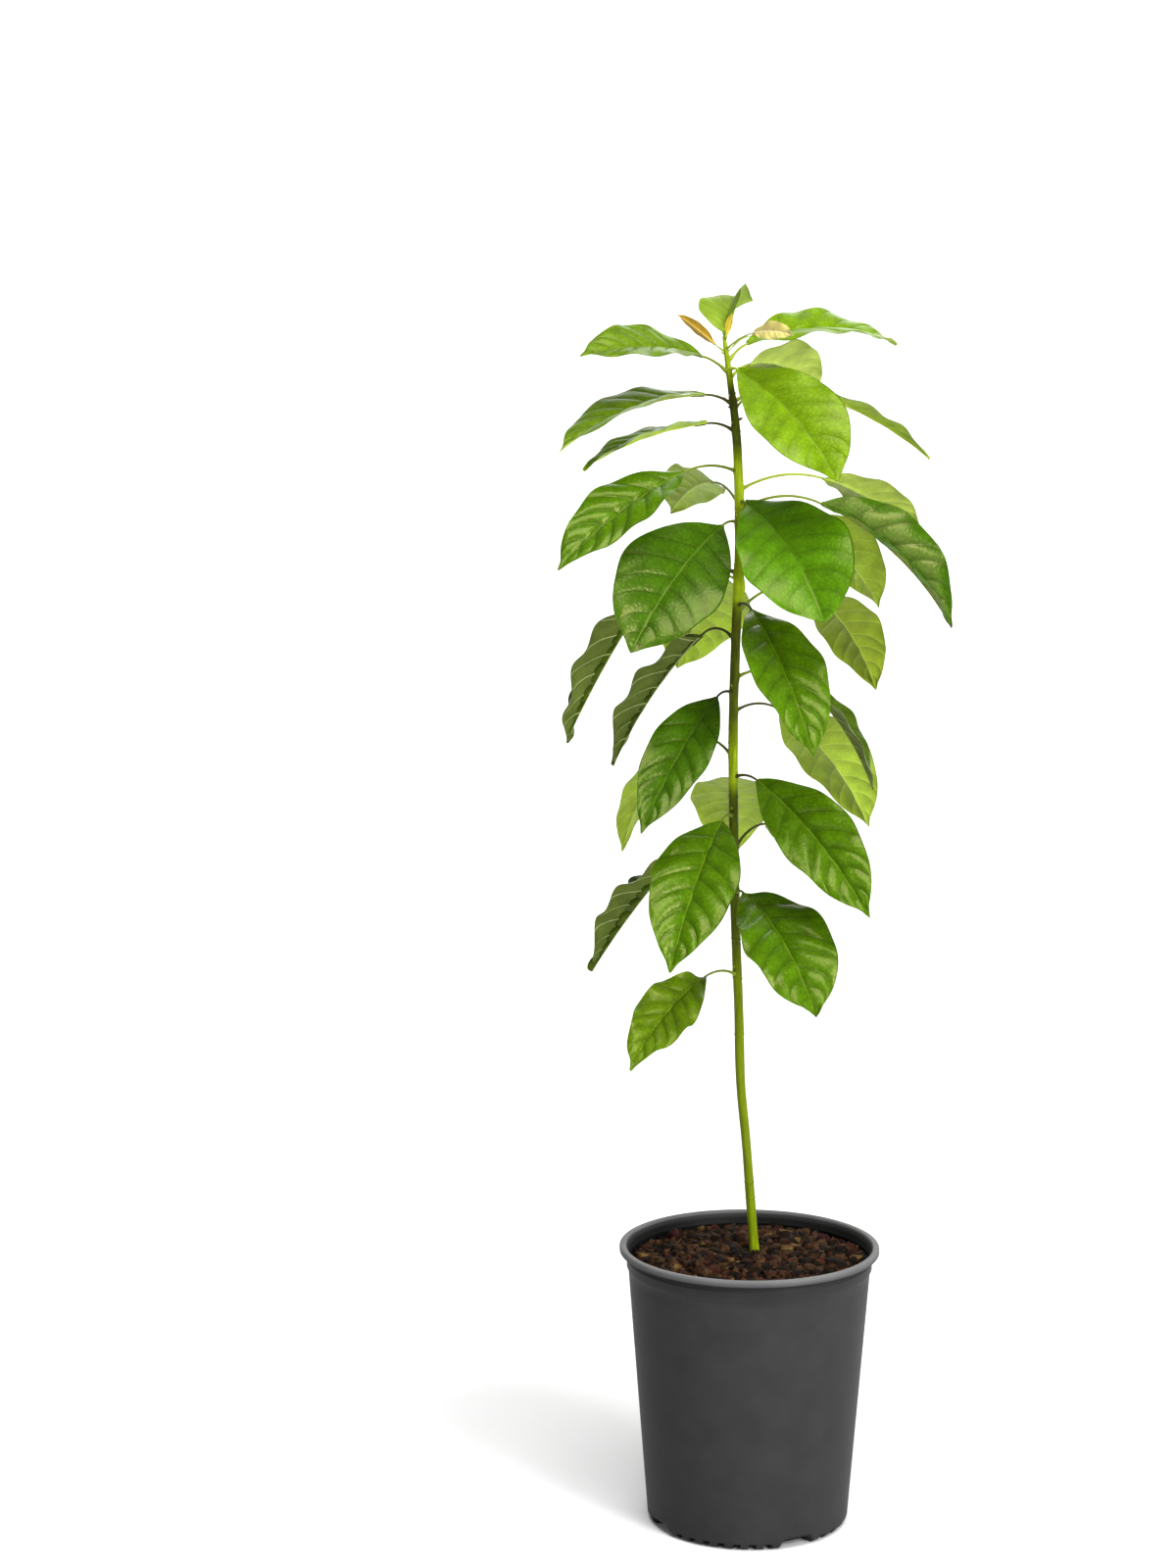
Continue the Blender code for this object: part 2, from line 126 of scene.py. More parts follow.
camera_data = bpy.data.cameras.new("camera")
camera_data.lens = CAMERA_LENS
camera_data.sensor_width = 36
camera = bpy.data.objects.new("camera", camera_data)
camera.location = CAMERA_PLACE
camera.rotation_euler = (radians(90 - CAMERA_DOWN), 0, radians(CAMERA_LEFT))
scene.collection.objects.link(camera)
scene.camera = camera
print("camera at", CAMERA_PLACE, "looking down by", CAMERA_DOWN, "degrees")

# %% Floor and backdrop


def plain_finish(name, color, roughness=0.5):
    """A Principled material with one colour, and its node tree to build on."""
    made = bpy.data.materials.new(name)
    made.use_nodes = True
    shader = made.node_tree.nodes["Principled BSDF"]
    shader.inputs["Base Color"].default_value = (*color, 1)
    shader.inputs["Roughness"].default_value = roughness
    return made, made.node_tree, shader


def studio_sweep(front=-3.6, back=2.2, bend=1.4, top=4.5, half_width=5.0, steps=24):
    """A floor line, a quarter circle and a wall line in the YZ plane, carried along X."""
    turn = linspace(0, pi / 2, steps)
    y = concatenate([[front, 0], back + bend * sin(turn), [back + bend]])
    z = concatenate([[0, 0], bend - bend * cos(turn), [top]])
    points = stack(
        [stack([np.full_like(y, x), y, z], -1) for x in (-half_width, half_width)], 1
    )
    return points, grid_quads(len(y), 2)[:, ::-1]


sweep_finish, _, _ = plain_finish("studio_white", (0.76, 0.76, 0.76), 0.9)
sweep_points, sweep_quads = studio_sweep()
sweep = make_piece("studio_sweep", sweep_points, sweep_quads, [sweep_finish])

# %% Lights


def soft_window(name, place, aim, size, power):
    """A square area light at a place, turned to face the aim."""
    data = bpy.data.lights.new(name, "AREA")
    data.size = size
    data.energy = power
    made = bpy.data.objects.new(name, data)
    made.location = place
    line = np.array(aim, float) - np.array(place, float)
    flat = np.hypot(line[0], line[1])
    made.rotation_euler = (np.arctan2(flat, -line[2]), 0, np.arctan2(line[1], line[0]) - pi / 2)
    scene.collection.objects.link(made)


CROWN = (0, 0, 0.75)
soft_window("window_front_right", (1.9, -2.1, 2.0), CROWN, 1.1, 84)
soft_window("window_front_left", (-1.8, -2.3, 1.9), CROWN, 1.0, 8)
soft_window("window_above", (0.2, -1.0, 3.0), CROWN, 1.7, 94)
soft_window("window_behind", (0.4, 1.8, 1.9), CROWN, 1.4, 10)
soft_window("window_low_right", (1.3, -1.9, 0.7), (0, 0, 0.15), 1.2, 26)
soft_window("backdrop_left", (-1.6, 1.4, 2.6), (-1.2, 3.6, 1.2), 1.2, 70)
soft_window("backdrop_right", (1.6, 1.4, 2.6), (1.4, 3.6, 1.2), 1.2, 70)
world = bpy.data.worlds.new("studio_air")
scene.world = world
world.use_nodes = True
world.node_tree.nodes["Background"].inputs["Color"].default_value = (1, 1, 1, 1)
world.node_tree.nodes["Background"].inputs["Strength"].default_value = 0.2
scene.view_settings.view_transform = "Standard"

# %% [markdown]
# ## Where the leaves grow
# A leaf is told by a dozen numbers: its height on the stem and the way it heads, how long its
# petiole is and how it rises, and how its blade starts, droops, rolls and folds. They are the
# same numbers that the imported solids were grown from, so every fine leaf lies on its solid.
# Lengths are in millimetres, and headings in degrees from the viewer's right, anticlockwise from
# above. The tint, the strength of the quilting, the waves of the margin and the colour of the
# stalk belong to the looks.

# %% The leaf table
FIELDS = (
    "height heading petiole rise length width pitch droop roll tint quilt wave stalk "
    "fold blunt sweep"
)
Leaf = namedtuple("Leaf", FIELDS, defaults=(15, 0, 0))


def row(height, heading, petiole, rise, length, width, *others, **bends):
    """A leaf from a row of the table, with its lengths turned into metres."""
    place = (height / 1000, heading, petiole / 1000, rise)
    return Leaf(*place, length / 1000, width / 1000, *others, **bends)


LEAVES = (
    row(494, -125, 45, 25, 125, 50, -15, 30, -35, "pale", 1.6, 4.0, "pale"),
    row(567, -60, 10, 25, 155, 80, -15, 40, 15, "mid", 1.6, 2.5, "green", blunt=0.35),
    row(595, 145, 60, 35, 150, 50, -45, 10, -5, "grey", 2.0, 5.0, "dark", fold=55),
    row(634, -110, 25, 20, 165, 76, -30, 25, -15, "mid", 1.7, 1.0, "green"),
    row(607, 55, 50, 40, 130, 60, -10, 40, -20, "deep", 1.2, 1.5, "dark"),
    row(668, -45, 25, 20, 170, 68, -25, 25, 35, "mid", 1.5, 1.5, "dark"),
    row(655, 90, 40, 30, 130, 80, -20, 40, 0, "mid", 1.0, 1.5, "green"),
    row(687, 125, 90, 30, 140, 40, -35, 30, 0, "mid", 1.0, 1.5, "green"),
    row(741, -120, 25, 20, 160, 56, -30, 20, -30, "deep", 1.0, 1.2, "dark"),
    row(725, 45, 55, 20, 165, 70, -30, 30, -30, "mid", 1.2, 1.5, "dark"),
    row(755, 20, 60, 25, 120, 35, -40, 30, 30, "grey", 1.0, 1.5, "green", fold=40),
    row(817, -65, 25, 20, 170, 70, -30, 25, 5, "mid", 1.6, 1.5, "dark"),
    row(789, 140, 35, 40, 165, 50, -40, 20, -10, "grey", 2.0, 4.5, "dark", fold=45),
    row(845, 165, 80, 30, 160, 55, -55, 10, 0, "grey", 2.0, 4.5, "dark", fold=50),
    row(812, 55, 120, 30, 140, 58, -25, 35, -25, "deep", 1.4, 1.5, "green"),
    row(837, 115, 20, 30, 140, 90, -25, 30, 25, "bright", 1.0, 1.5, "pale"),
    row(885, 35, 50, 30, 130, 65, -20, 40, -30, "bright", 1.0, 1.5, "green"),
    row(888, -125, 20, 15, 165, 95, -25, 25, -35, "deep", 0.8, 1.2, "green", blunt=0.3),
    row(905, -60, 5, 20, 165, 98, -15, 40, 25, "bright", 0.6, 1.5, "green", blunt=0.7),
    row(900, 15, 70, 30, 165, 72, -25, 35, 45, "deep", 0.8, 2.0, "green", fold=40),
    row(932, -140, 55, 20, 155, 60, -20, 20, -25, "mid", 1.7, 1.5, "green"),
    row(904, 110, 60, 30, 130, 55, 0, 30, 30, "bright", 1.0, 1.5, "green"),
    row(917, 30, 80, 25, 120, 50, -15, 30, -25, "pale", 1.0, 1.5, "pale"),
    row(967, -150, 25, 30, 125, 45, -5, 25, 5, "lime", 0.9, 1.5, "dark"),
    row(990, -145, 25, 30, 155, 65, 0, 35, -5, "pale", 0.9, 1.5, "dark"),
    row(985, 65, 30, 30, 120, 55, 5, 35, 0, "mid", 1.2, 1.5, "green"),
    row(992, 15, 60, 30, 130, 40, -15, 25, -5, "bright", 1.0, 1.5, "pale"),
    row(1018, -50, 8, 20, 160, 80, -20, 30, 30, "lime", 0.6, 1.5, "pale", blunt=0.45),
    row(1012, 55, 25, 35, 115, 60, 10, 50, -30, "pale", 0.8, 1.5, "pale"),
    row(1017, -145, 25, 40, 125, 55, 15, 30, -28, "pale", 1.0, 1.5, "green"),
    row(1027, 30, 20, 55, 155, 55, 20, 40, 23, "lime", 1.0, 2.0, "pale"),
)
YOUNG_LEAVES = (
    row(1043, 95, 6, 70, 57, 62, 45, 30, -15, "green", 0.4, 0.6, "pale", 38, 0.4, -70),
    row(1034, 170, 8, 35, 42, 14, 40, 5, 50, "bronze", 0.2, 0.3, "pale"),
    row(1036, -45, 32, 35, 48, 18, 10, 25, 60, "pink", 0.3, 1.0, "pale"),
    row(1044, -60, 3, 70, 20, 7, 70, 10, 0, "yellow", 0.1, 0.2, "pale"),
    row(1034, 20, 4, 45, 18, 8, 50, 40, 0, "green", 0.1, 0.2, "pale"),
)
print(len(LEAVES), "mature leaves and", len(YOUNG_LEAVES), "young ones")

# %% The stem's line and thickness
STEM_LINE = np.array([
    (0.2418, 0.005, 0), (0.29, 0.001, 0.0005), (0.345, -0.0035, 0.0015), (0.39, -0.008, 0.002),
    (0.46, -0.0105, 0.001), (0.54, -0.014, -0.001), (0.63, -0.0162, 0), (0.72, -0.017, 0.002),
    (0.8, -0.0148, 0.001), (0.86, -0.0128, 0), (0.92, -0.0135, -0.001), (0.97, -0.0165, 0),
    (1.01, -0.0218, 0.001), (1.046, -0.0268, 0.001),
])
STEM_FOOT_RADIUS = 4.5 * MM
STEM_RADIUS = 4.1 * MM
STEM_TIP_RADIUS = 1.5 * MM
FLARE_HEIGHT = 25 * MM
TAPER_FROM = 0.86


def stem_at(height):
    """Points on the stem's line: a cubic through the listed points, sloped by their neighbours."""
    height = np.asarray(height, float)
    z, line = STEM_LINE[:, 0], STEM_LINE[:, 1:]
    slopes = np.gradient(line, z, axis=0)
    i = np.clip(np.searchsorted(z, height) - 1, 0, len(z) - 2)
    step = (z[i + 1] - z[i])[..., None]
    t = ((height - z[i]) / (z[i + 1] - z[i]))[..., None]
    start, end = (2 * t**3 - 3 * t**2 + 1), (3 * t**2 - 2 * t**3)
    bend_start, bend_end = (t**3 - 2 * t**2 + t) * step, (t**3 - t**2) * step
    xy = line[i] * start + line[i + 1] * end + slopes[i] * bend_start + slopes[i + 1] * bend_end
    return concatenate([xy, height[..., None]], -1)


def stem_radius(height):
    """The radius shrinks as a square over the flare at the foot, and as a cube towards the tip."""
    height = np.asarray(height, float)
    foot, top = STEM_LINE[0, 0], STEM_LINE[-1, 0]
    flare = np.maximum(0, 1 - (height - foot) / FLARE_HEIGHT)
    taper = np.maximum(0, (height - TAPER_FROM) / (top - TAPER_FROM))
    grown = STEM_RADIUS + (STEM_FOOT_RADIUS - STEM_RADIUS) * flare**2
    return grown + (STEM_TIP_RADIUS - STEM_RADIUS) * taper**3


# %% Points round an axis, directions and walks


def round_axis(radius, angle, height):
    """Points at a radius and an angle round the Z axis, at a height."""
    x, y = radius * cos(angle), radius * sin(angle)
    return stack(np.broadcast_arrays(x, y, height), -1)


def direction(heading, pitch):
    """Unit vectors from headings and pitches in degrees."""
    heading, pitch = radians(np.broadcast_arrays(heading, pitch))
    return round_axis(cos(pitch), heading, sin(pitch))


def walk(start, headings, pitches, length):
    """Points reached by equal steps along the directions, the start among them."""
    steps = direction(headings, pitches) * (length / len(pitches))
    return concatenate([[start], start + np.cumsum(steps, 0)])


PETIOLE_STEPS = 16
BLADE_STEPS = 64
STALK_GAP = 0.45 * MM
STALK_RADIUS = 1.3 * MM


def petiole_line(leaf):
    """From the stem's side, turning evenly from the leaf's rise to the pitch of its blade."""
    clear = stem_radius(leaf.height) + STALK_GAP + STALK_RADIUS * abs(sin(radians(leaf.rise)))
    start = stem_at(leaf.height) + direction(leaf.heading, 0) * clear
    share = (arange(PETIOLE_STEPS) + 0.5) / PETIOLE_STEPS
    pitches = leaf.rise + (leaf.pitch - leaf.rise) * share
    return walk(start, np.full(PETIOLE_STEPS, leaf.heading), pitches, leaf.petiole)


def midrib_line(leaf):
    """From the petiole's end, drooping evenly and turning by the leaf's sweep."""
    share = (arange(BLADE_STEPS) + 0.5) / BLADE_STEPS
    headings = leaf.heading + leaf.sweep * share
    return walk(petiole_line(leaf)[-1], headings, leaf.pitch - leaf.droop * share, leaf.length)


# %% [markdown]
# ## Leaf finishes
# A grown avocado leaf is leathery. Its upper side is deep green with a soft waxy sheen, its
# underside is paler and duller, the midrib is paler on most leaves, and the veins of the
# underside are paler still. The underside colours are also lifted as a painted glow of light
# shining through the blade. Newer leaves near the top are thinner and let more light through, so
# they look lime; the lime tint paints that glow. Where a colour belongs to a place, such as a vein
# or an underside, it is a plain colour on those faces. The upper side has three shades of one
# green: darkest beside the veins as painted shade in the dips of the quilting, lightest on top of
# the puffs as a painted highlight. Its side veins are darker still, a painted shadow in their
# grooves. The finish only adds what has no place: a faint mottling, the fine dark net between the
# veins, and uneven sheen.

# %% Nodes of a finish


def fill(tree, node, inputs):
    """Links each named input of a node to a socket, or sets it to a value."""
    for name, value in inputs.items():
        if isinstance(value, bpy.types.NodeSocket):
            tree.links.new(value, node.inputs[name])
        else:
            node.inputs[name].default_value = value
    return node


def add_node(tree, kind, output, inputs, **options):
    """Adds a shader node with these options and inputs, and gives back one of its outputs."""
    node = tree.nodes.new("ShaderNode" + kind)
    for option, value in options.items():
        setattr(node, option, value)
    return fill(tree, node, inputs).outputs[output]


def noise(tree, place, scale, detail=2):
    """A soft noise between 0 and 1; the scale is in cells per metre."""
    return add_node(tree, "TexNoise", "Fac", {"Vector": place, "Scale": scale, "Detail": detail})


def ramp(tree, share, stops):
    """A colour by stops of (share, colour); a single number is a grey."""
    node = fill(tree, tree.nodes.new("ShaderNodeValToRGB"), {"Fac": share})
    elements = node.color_ramp.elements
    for spot, _ in stops[1:-1]:
        elements.new(spot)
    elements[0].position, elements[-1].position = stops[0][0], stops[-1][0]
    for element, (_, color) in zip(elements, stops):
        element.color = (*np.broadcast_to(color, 3).astype(float), 1)
    return node.outputs["Color"]


def height_share(tree, place, bottom, top):
    """The share of the way from a bottom height to a top height."""
    height = add_node(tree, "SeparateXYZ", "Z", {"Vector": place})
    inputs = {"Value": height, "From Min": bottom, "From Max": top}
    return add_node(tree, "MapRange", "Result", inputs)


def darkened(tree, color, by, share=1):
    """A colour multiplied by another, by a share."""
    inputs = {"Factor": share, "A": color, "B": by}
    return add_node(tree, "Mix", "Result", inputs, data_type="RGBA", blend_type="MULTIPLY")


def spread(tree, value, low, high):
    """A value between 0 and 1 laid out from low to high."""
    return add_node(tree, "MapRange", "Result", {"Value": value, "To Min": low, "To Max": high})


def relief(tree, height, strength, distance):
    """A normal tilted as if the skin rose and sank with this height."""
    inputs = {"Height": height, "Strength": strength, "Distance": distance}
    return add_node(tree, "Bump", "Normal", inputs)


# %% A leaf finish
# In every tint the vein colour, used on the upper side, is darker than the blade: a painted shadow
# in the vein grooves.
Tint = namedtuple("Tint", "upper rib vein under under_vein sheen")
# The underside colours are paler, partly the underside's own colour and partly a painted glow of
# light through the blade; the lime tint paints that glow too.
TINTS = {
    "deep": Tint(
        (0.028, 0.076, 0.001), (0.04, 0.085, 0.002), (0.018, 0.046, 0.001),
        (0.155, 0.218, 0.011), (0.25, 0.32, 0.035), 0.26,
    ),
    "mid": Tint(
        (0.048, 0.112, 0.001), (0.075, 0.138, 0.003), (0.031, 0.073, 0.001),
        (0.23, 0.33, 0.028), (0.33, 0.42, 0.06), 0.25,
    ),
    "bright": Tint(
        (0.05, 0.134, 0.001), (0.04, 0.088, 0.002), (0.036, 0.096, 0.001),
        (0.25, 0.36, 0.028), (0.35, 0.44, 0.06), 0.3,
    ),
    "lime": Tint(
        (0.102, 0.188, 0.001), (0.078, 0.145, 0.002), (0.089, 0.166, 0.001),
        (0.31, 0.43, 0.05), (0.37, 0.48, 0.08), 0.34,
    ),
    "pale": Tint(
        (0.074, 0.136, 0.002), (0.112, 0.184, 0.008), (0.057, 0.108, 0.001),
        (0.34, 0.44, 0.066), (0.4, 0.51, 0.11), 0.34,
    ),
    "grey": Tint(
        (0.044, 0.08, 0.004), (0.11, 0.15, 0.03), (0.03, 0.052, 0.003),
        (0.092, 0.13, 0.022), (0.34, 0.39, 0.16), 0.24,
    ),
}
WAX_TINT = (1, 0.95, 0.35, 1)
MOTTLE_SCALE, NET_SCALE = 70, 210
NET_LINE = 0.14


def leaf_finish(name, color, roughness, net=0.3, mottle=0.18):
    """A waxy leaf skin: mottled by a soft noise, netted by sunk and darker cell borders."""
    made, tree, shader = plain_finish(name, color, roughness)
    place = add_node(tree, "TexCoord", "Object", {})
    cloud = noise(tree, place, MOTTLE_SCALE, 3)
    color = np.array(color)
    shades = ((0.3, color * (1 - mottle)), (0.7, np.minimum(1, color * (1 + mottle))))
    cell = {"Vector": place, "Scale": NET_SCALE}
    edge = add_node(tree, "TexVoronoi", "Distance", cell, feature="DISTANCE_TO_EDGE")
    borders = ramp(tree, edge, ((0, 1 - 0.9 * net), (NET_LINE, 1)))
    fill(tree, shader, {
        "Base Color": darkened(tree, ramp(tree, cloud, shades), borders),
        "Roughness": spread(tree, cloud, roughness - 0.06, roughness + 0.08),
        "Normal": relief(tree, edge, net, 0.8 * MM),
        "Specular IOR Level": 0.25,
        "Specular Tint": WAX_TINT,
    })
    return made


def leaf_finishes(kind, tint):
    """The faces of a leaf: beside the veins, between them, on top of each puff, midrib, side
    veins, underside and its veins. The first three are shades of one green, with painted shade
    beside the veins and a painted highlight on top of the puffs."""
    # The greens at 0.86 and 1.09 of the tint are painted shade beside the veins and a painted
    # highlight on top of the puffs.
    greens = [
        leaf_finish(f"{kind}_{part}", [c * shade for c in tint.upper], tint.sheen)
        for part, shade in (("shaded_hollow", 0.86), ("blade", 1.0), ("highlit_crown", 1.09))
    ]
    return greens + [
        leaf_finish(f"{kind}_rib", tint.rib, 0.4, net=0),
        leaf_finish(f"{kind}_vein", tint.vein, tint.sheen, net=0),
        leaf_finish(f"{kind}_underside", tint.under, 0.5, net=0.12),
        leaf_finish(f"{kind}_underside_vein", tint.under_vein, 0.5, net=0),
    ]


# %% [markdown]
# ## The leaf blade
# On a real blade the side veins leave the midrib at an angle and curve forward, and the skin
# between them puffs up like quilting. If the rows of the grid ran straight across, each vein
# would cross many rows and turn into a staircase. So the rows themselves sweep forward as the
# veins do: a vein is then simply one thin band of the grid. The blade is a closed shell: the
# underside is the upper side moved down by the blade's thickness, which swells under the veins.

# %% Rows and columns of a blade
VEIN_PAIRS = 8
FORWARD = 0.2
UNEVEN = 0.018
BAND_ROWS = np.array([-0.045, 0.045, 0.18, 0.38, 0.62, 0.82])
SIDE_COLUMNS = np.array([0.05, 0.13, 0.25, 0.39, 0.53, 0.67, 0.8, 0.9, 0.965, 1.0])
RIB_HALF = (1.0 * MM, 0.25 * MM)
DRIP = 0.38
MARGIN_WAVES, SWELL_WAVES = 3.5, 1.6
QUILT_HEIGHT = 1.5 * MM
CRINKLE = 0.3 * MM
BLADE_SKIN, VEIN_SKIN = 0.35 * MM, 0.3 * MM
FOLD_AT_RIB, FOLD_LOSS = 1.45, 0.9
MOST_TWIST = 9


def blade_rows():
    """Shares along the midrib where rows start, with a thin band at every half vein spacing."""
    spots = (arange(2 * VEIN_PAIRS + 1)[:, None] + BAND_ROWS).ravel() / (2 * VEIN_PAIRS)
    inside = spots[(spots > 0.004) & (spots < 0.996)]
    return concatenate([[0], inside, [1]])


def half_width(leaf, share):
    """An egg-shaped outline that draws in before the tip, where the blade ends in a drip point.

    A blunt leaf is fuller, widest nearer the tip, and ends with less of a point."""
    shift, fullness = 0.95 + 0.6 * leaf.blunt, 0.85 - 0.25 * leaf.blunt
    outline = sin(pi * np.clip(share, 0, 1) ** shift) ** fullness
    drip = DRIP * (1 - leaf.blunt)
    outline = outline * (1 - drip * exp(-(((share - 0.965) / 0.05) ** 2)))
    narrow = 1.6 * MM + (0.5 * MM - 1.6 * MM) * share
    return np.maximum(narrow, leaf.width / 2 * outline)


# %% The blade's surface


def blade_shell(leaf, seed):
    """Points of a blade: the grid of its upper side, then the grid of its underside.

    A point starts from the share u of its row and its place v across, from 0 at the midrib to 1
    at the margin. It lies at the share t = u + FORWARD * v^1.3 * 4u(1 - u) of the midrib, so rows
    sweep forward. Across, the half blade leaves the midrib at the fold angle and flattens
    outwards. Normal to that come the quilting, which is the root of |sin| of the vein phase, the
    waves, which grow with v^3, and a long swell and a fine crinkle, both products of sines.
    """
    rng = np.random.default_rng(seed)
    u = blade_rows()[:, None]
    rib = RIB_HALF[0] + (RIB_HALF[1] - RIB_HALF[0]) * u
    rib_share = np.minimum(0.5, rib / half_width(leaf, u))
    v = concatenate([np.zeros_like(u), rib_share, rib_share + (1 - rib_share) * SIDE_COLUMNS], 1)
    t = u + FORWARD * v**1.3 * 4 * u * (1 - u)
    t = t + UNEVEN * v * sin(2 * pi * 3.1 * u + rng.uniform(0, 2 * pi)) * u * (1 - u) * 4
    half = half_width(leaf, t)
    ribs = midrib_line(leaf)
    shares = linspace(0, 1, BLADE_STEPS + 1)
    place = stack([np.interp(t, shares, ribs[:, k]) for k in range(3)], -1)
    heading, pitch = leaf.heading + leaf.sweep * t, leaf.pitch - leaf.droop * t
    along, level = direction(heading, pitch), direction(heading + 90, 0)
    up = np.cross(along, level)
    twist = rng.uniform(-MOST_TWIST, MOST_TWIST)
    roll = radians(leaf.roll + twist * (t - 0.35))[..., None]
    side = level * cos(roll) + up * sin(roll)
    normal = up * cos(roll) - level * sin(roll)
    lean = radians(leaf.fold) * (FOLD_AT_RIB - FOLD_LOSS * v)
    middle = (lean[:, 1:] + lean[:, :-1]) / 2
    step = np.diff(v, axis=1)
    zero = np.zeros_like(u)
    out = concatenate([zero, np.cumsum(cos(middle) * step, 1)], 1)
    rise = concatenate([zero, np.cumsum(sin(middle) * step, 1)], 1)
    taper = sin(pi * np.clip(u, 0, 1)) ** 0.6
    grids = []
    for sign, phase in ((1, 0.5), (-1, 0.0)):
        puff = np.abs(sin(pi * (VEIN_PAIRS * u + phase))) ** 0.5
        reach = np.minimum(1, v / 0.12) * (1 - 0.85 * v**4)
        quilt = leaf.quilt * QUILT_HEIGHT * puff * reach * taper
        a, b, c, d = rng.uniform(0, 2 * pi, 4)
        wave = leaf.wave * MM * v**3 * sin(2 * pi * MARGIN_WAVES * t + a)
        swell = 0.35 * leaf.wave * MM * v * sin(2 * pi * SWELL_WAVES * t + b)
        crinkle = leaf.quilt * CRINKLE * sin(31 * t + c + 5 * v) * sin(9 * v + d) * taper
        lift = (quilt + wave + swell + crinkle + 0.25 * MM * (v == 0))[..., None]
        outline = half * (1 + 0.018 * sin(2 * pi * MARGIN_WAVES * t + b) * taper)
        across = side * (sign * out)[..., None] + normal * rise[..., None]
        point = place + across * outline[..., None]
        own_normal = normal * cos(lean)[..., None] - side * (sign * sin(lean))[..., None]
        skin = BLADE_SKIN + rib * 1.15 * exp(-((v * half / (1.3 * rib)) ** 2))
        skin = skin + VEIN_SKIN * (puff < 0.2) * (1 - v) * taper
        grids.append((point + own_normal * lift, point + own_normal * (lift - skin[..., None])))
    faces = [concatenate([grids[1][k][:, :0:-1], grids[0][k]], 1) for k in (0, 1)]
    return concatenate(faces).reshape(-1, 3)


def blade_quads():
    """Quads of both faces and of the four borders, with each quad's finish number."""
    starts = blade_rows()
    rows, columns = len(starts), 2 * len(SIDE_COLUMNS) + 3
    face = grid_quads(rows, columns)
    count = rows * columns
    r, c = np.divmod(arange(len(face)), columns - 1)
    side = (columns - 1) // 2
    near_rib = (c == side) | (c == side - 1)
    middle = (starts[:-1] + starts[1:]) * VEIN_PAIRS
    to_even = np.abs((middle + 1) % 2 - 1)[r]
    off_vein = np.where(c < side, to_even, 1 - to_even)
    reaches = np.abs(c - side + 0.5) < side - 1
    vein = (off_vein < 0.02) & reaches
    # On the upper side, faces next to a vein take the darker green as painted shade, faces
    # farthest from it the lighter green as a painted highlight; vein faces take the darker vein
    # colour, a painted shadow in the groove.
    shade = np.where(reaches, (off_vein > 0.2) * 1 + (off_vein > 0.6), 1)
    top = np.where(near_rib, 3, np.where(vein, 4, shade))
    bottom = np.where(near_rib | vein, 6, 5)
    edges = [
        arange(columns)[::-1],
        (rows - 1) * columns + arange(columns),
        arange(rows) * columns,
        arange(rows)[::-1] * columns + columns - 1,
    ]
    rims = [stack([e[:-1], e[1:], e[1:] + count, e[:-1] + count], -1) for e in edges]
    rim = concatenate(rims)[:, ::-1]
    quads = concatenate([face[:, ::-1], face + count, rim[:, ::-1]])
    return quads, concatenate([top, bottom, np.full(len(rim), 3)])


# %% Many meshes as one piece


def make_joined(name, meshes, finishes, **words):
    """One piece of many meshes, each given as (points, quads, finish numbers)."""
    points, quads, numbers, count = [], [], [], 0
    for some, faces, number in meshes:
        points.append(some.reshape(-1, 3))
        quads.append(faces + count)
        numbers.append(np.broadcast_to(number, len(faces)))
        count += len(points[-1])
    points, quads, numbers = map(concatenate, (points, quads, numbers))
    make_piece(name, points, quads, finishes, numbers, **words)


# %% Grow the mature blades
shell_quads, shell_finish = blade_quads()
blades = {kind: [] for kind in TINTS}
nodes_of = {kind: [] for kind in TINTS}
for i, leaf in enumerate(LEAVES):
    blades[leaf.tint].append((blade_shell(leaf, 100 + i), shell_quads, shell_finish))
    nodes_of[leaf.tint].append(f"leaf_{i + 1:02d}")
for kind, tint in TINTS.items():
    words = {"slot": "mature_leaf", "replaces": nodes_of[kind]}
    make_joined(f"{kind}_leaves", blades[kind], leaf_finishes(kind, tint), **words)

# %% [markdown]
# ## Young leaves
# The newest leaves round the bud are small and thin, and they start bronze and pink before they
# turn green. They are the same shell as a grown blade at a smaller size, so the same rule grows
# them. One has already opened into a green trough; the others are narrow and still coloured.

# %% Young blades
YOUNG_TINTS = {
    "green": ((0.13, 0.205, 0.01), (0.22, 0.31, 0.03), (0.2, 0.29, 0.04)),
    "bronze": ((0.52, 0.32, 0.03), (0.56, 0.42, 0.08), (0.46, 0.27, 0.03)),
    "pink": ((0.46, 0.4, 0.12), (0.6, 0.52, 0.3), (0.52, 0.36, 0.22)),
    "yellow": ((0.46, 0.33, 0.01), (0.5, 0.42, 0.05), (0.42, 0.3, 0.02)),
}
young_finishes = []
for kind, (skin_color, rib_color, under_color) in YOUNG_TINTS.items():
    young_finishes.append(leaf_finish(f"young_{kind}", skin_color, 0.45, net=0.06))
    young_finishes.append(leaf_finish(f"young_{kind}_rib", rib_color, 0.5, net=0))
    young_finishes.append(leaf_finish(f"young_{kind}_underside", under_color, 0.5, net=0.06))
young = []
young_faces = np.array([0, 0, 0, 1, 1, 2, 1])
for i, leaf in enumerate(YOUNG_LEAVES):
    first = 3 * list(YOUNG_TINTS).index(leaf.tint)
    finish_of = first + young_faces[shell_finish]
    young.append((blade_shell(leaf, 300 + i), shell_quads, finish_of))
young_nodes = [f"young_leaf_{i + 1}" for i in range(len(YOUNG_LEAVES))]
words = {"slot": "young_leaf", "replaces": young_nodes}
make_joined("young_leaves", young, young_finishes, **words)

# %% [markdown]
# ## Petioles
# A petiole is the thin stalk that holds a blade. It swells where it joins the stem, thins along
# its arch, and runs on under the blade as the midrib. A tube swept along a line does this: rings
# of points at right angles to the line, with a radius that changes along it. The swollen foot is
# sunk in the stem, so no gap shows.

# %% A tube along a line


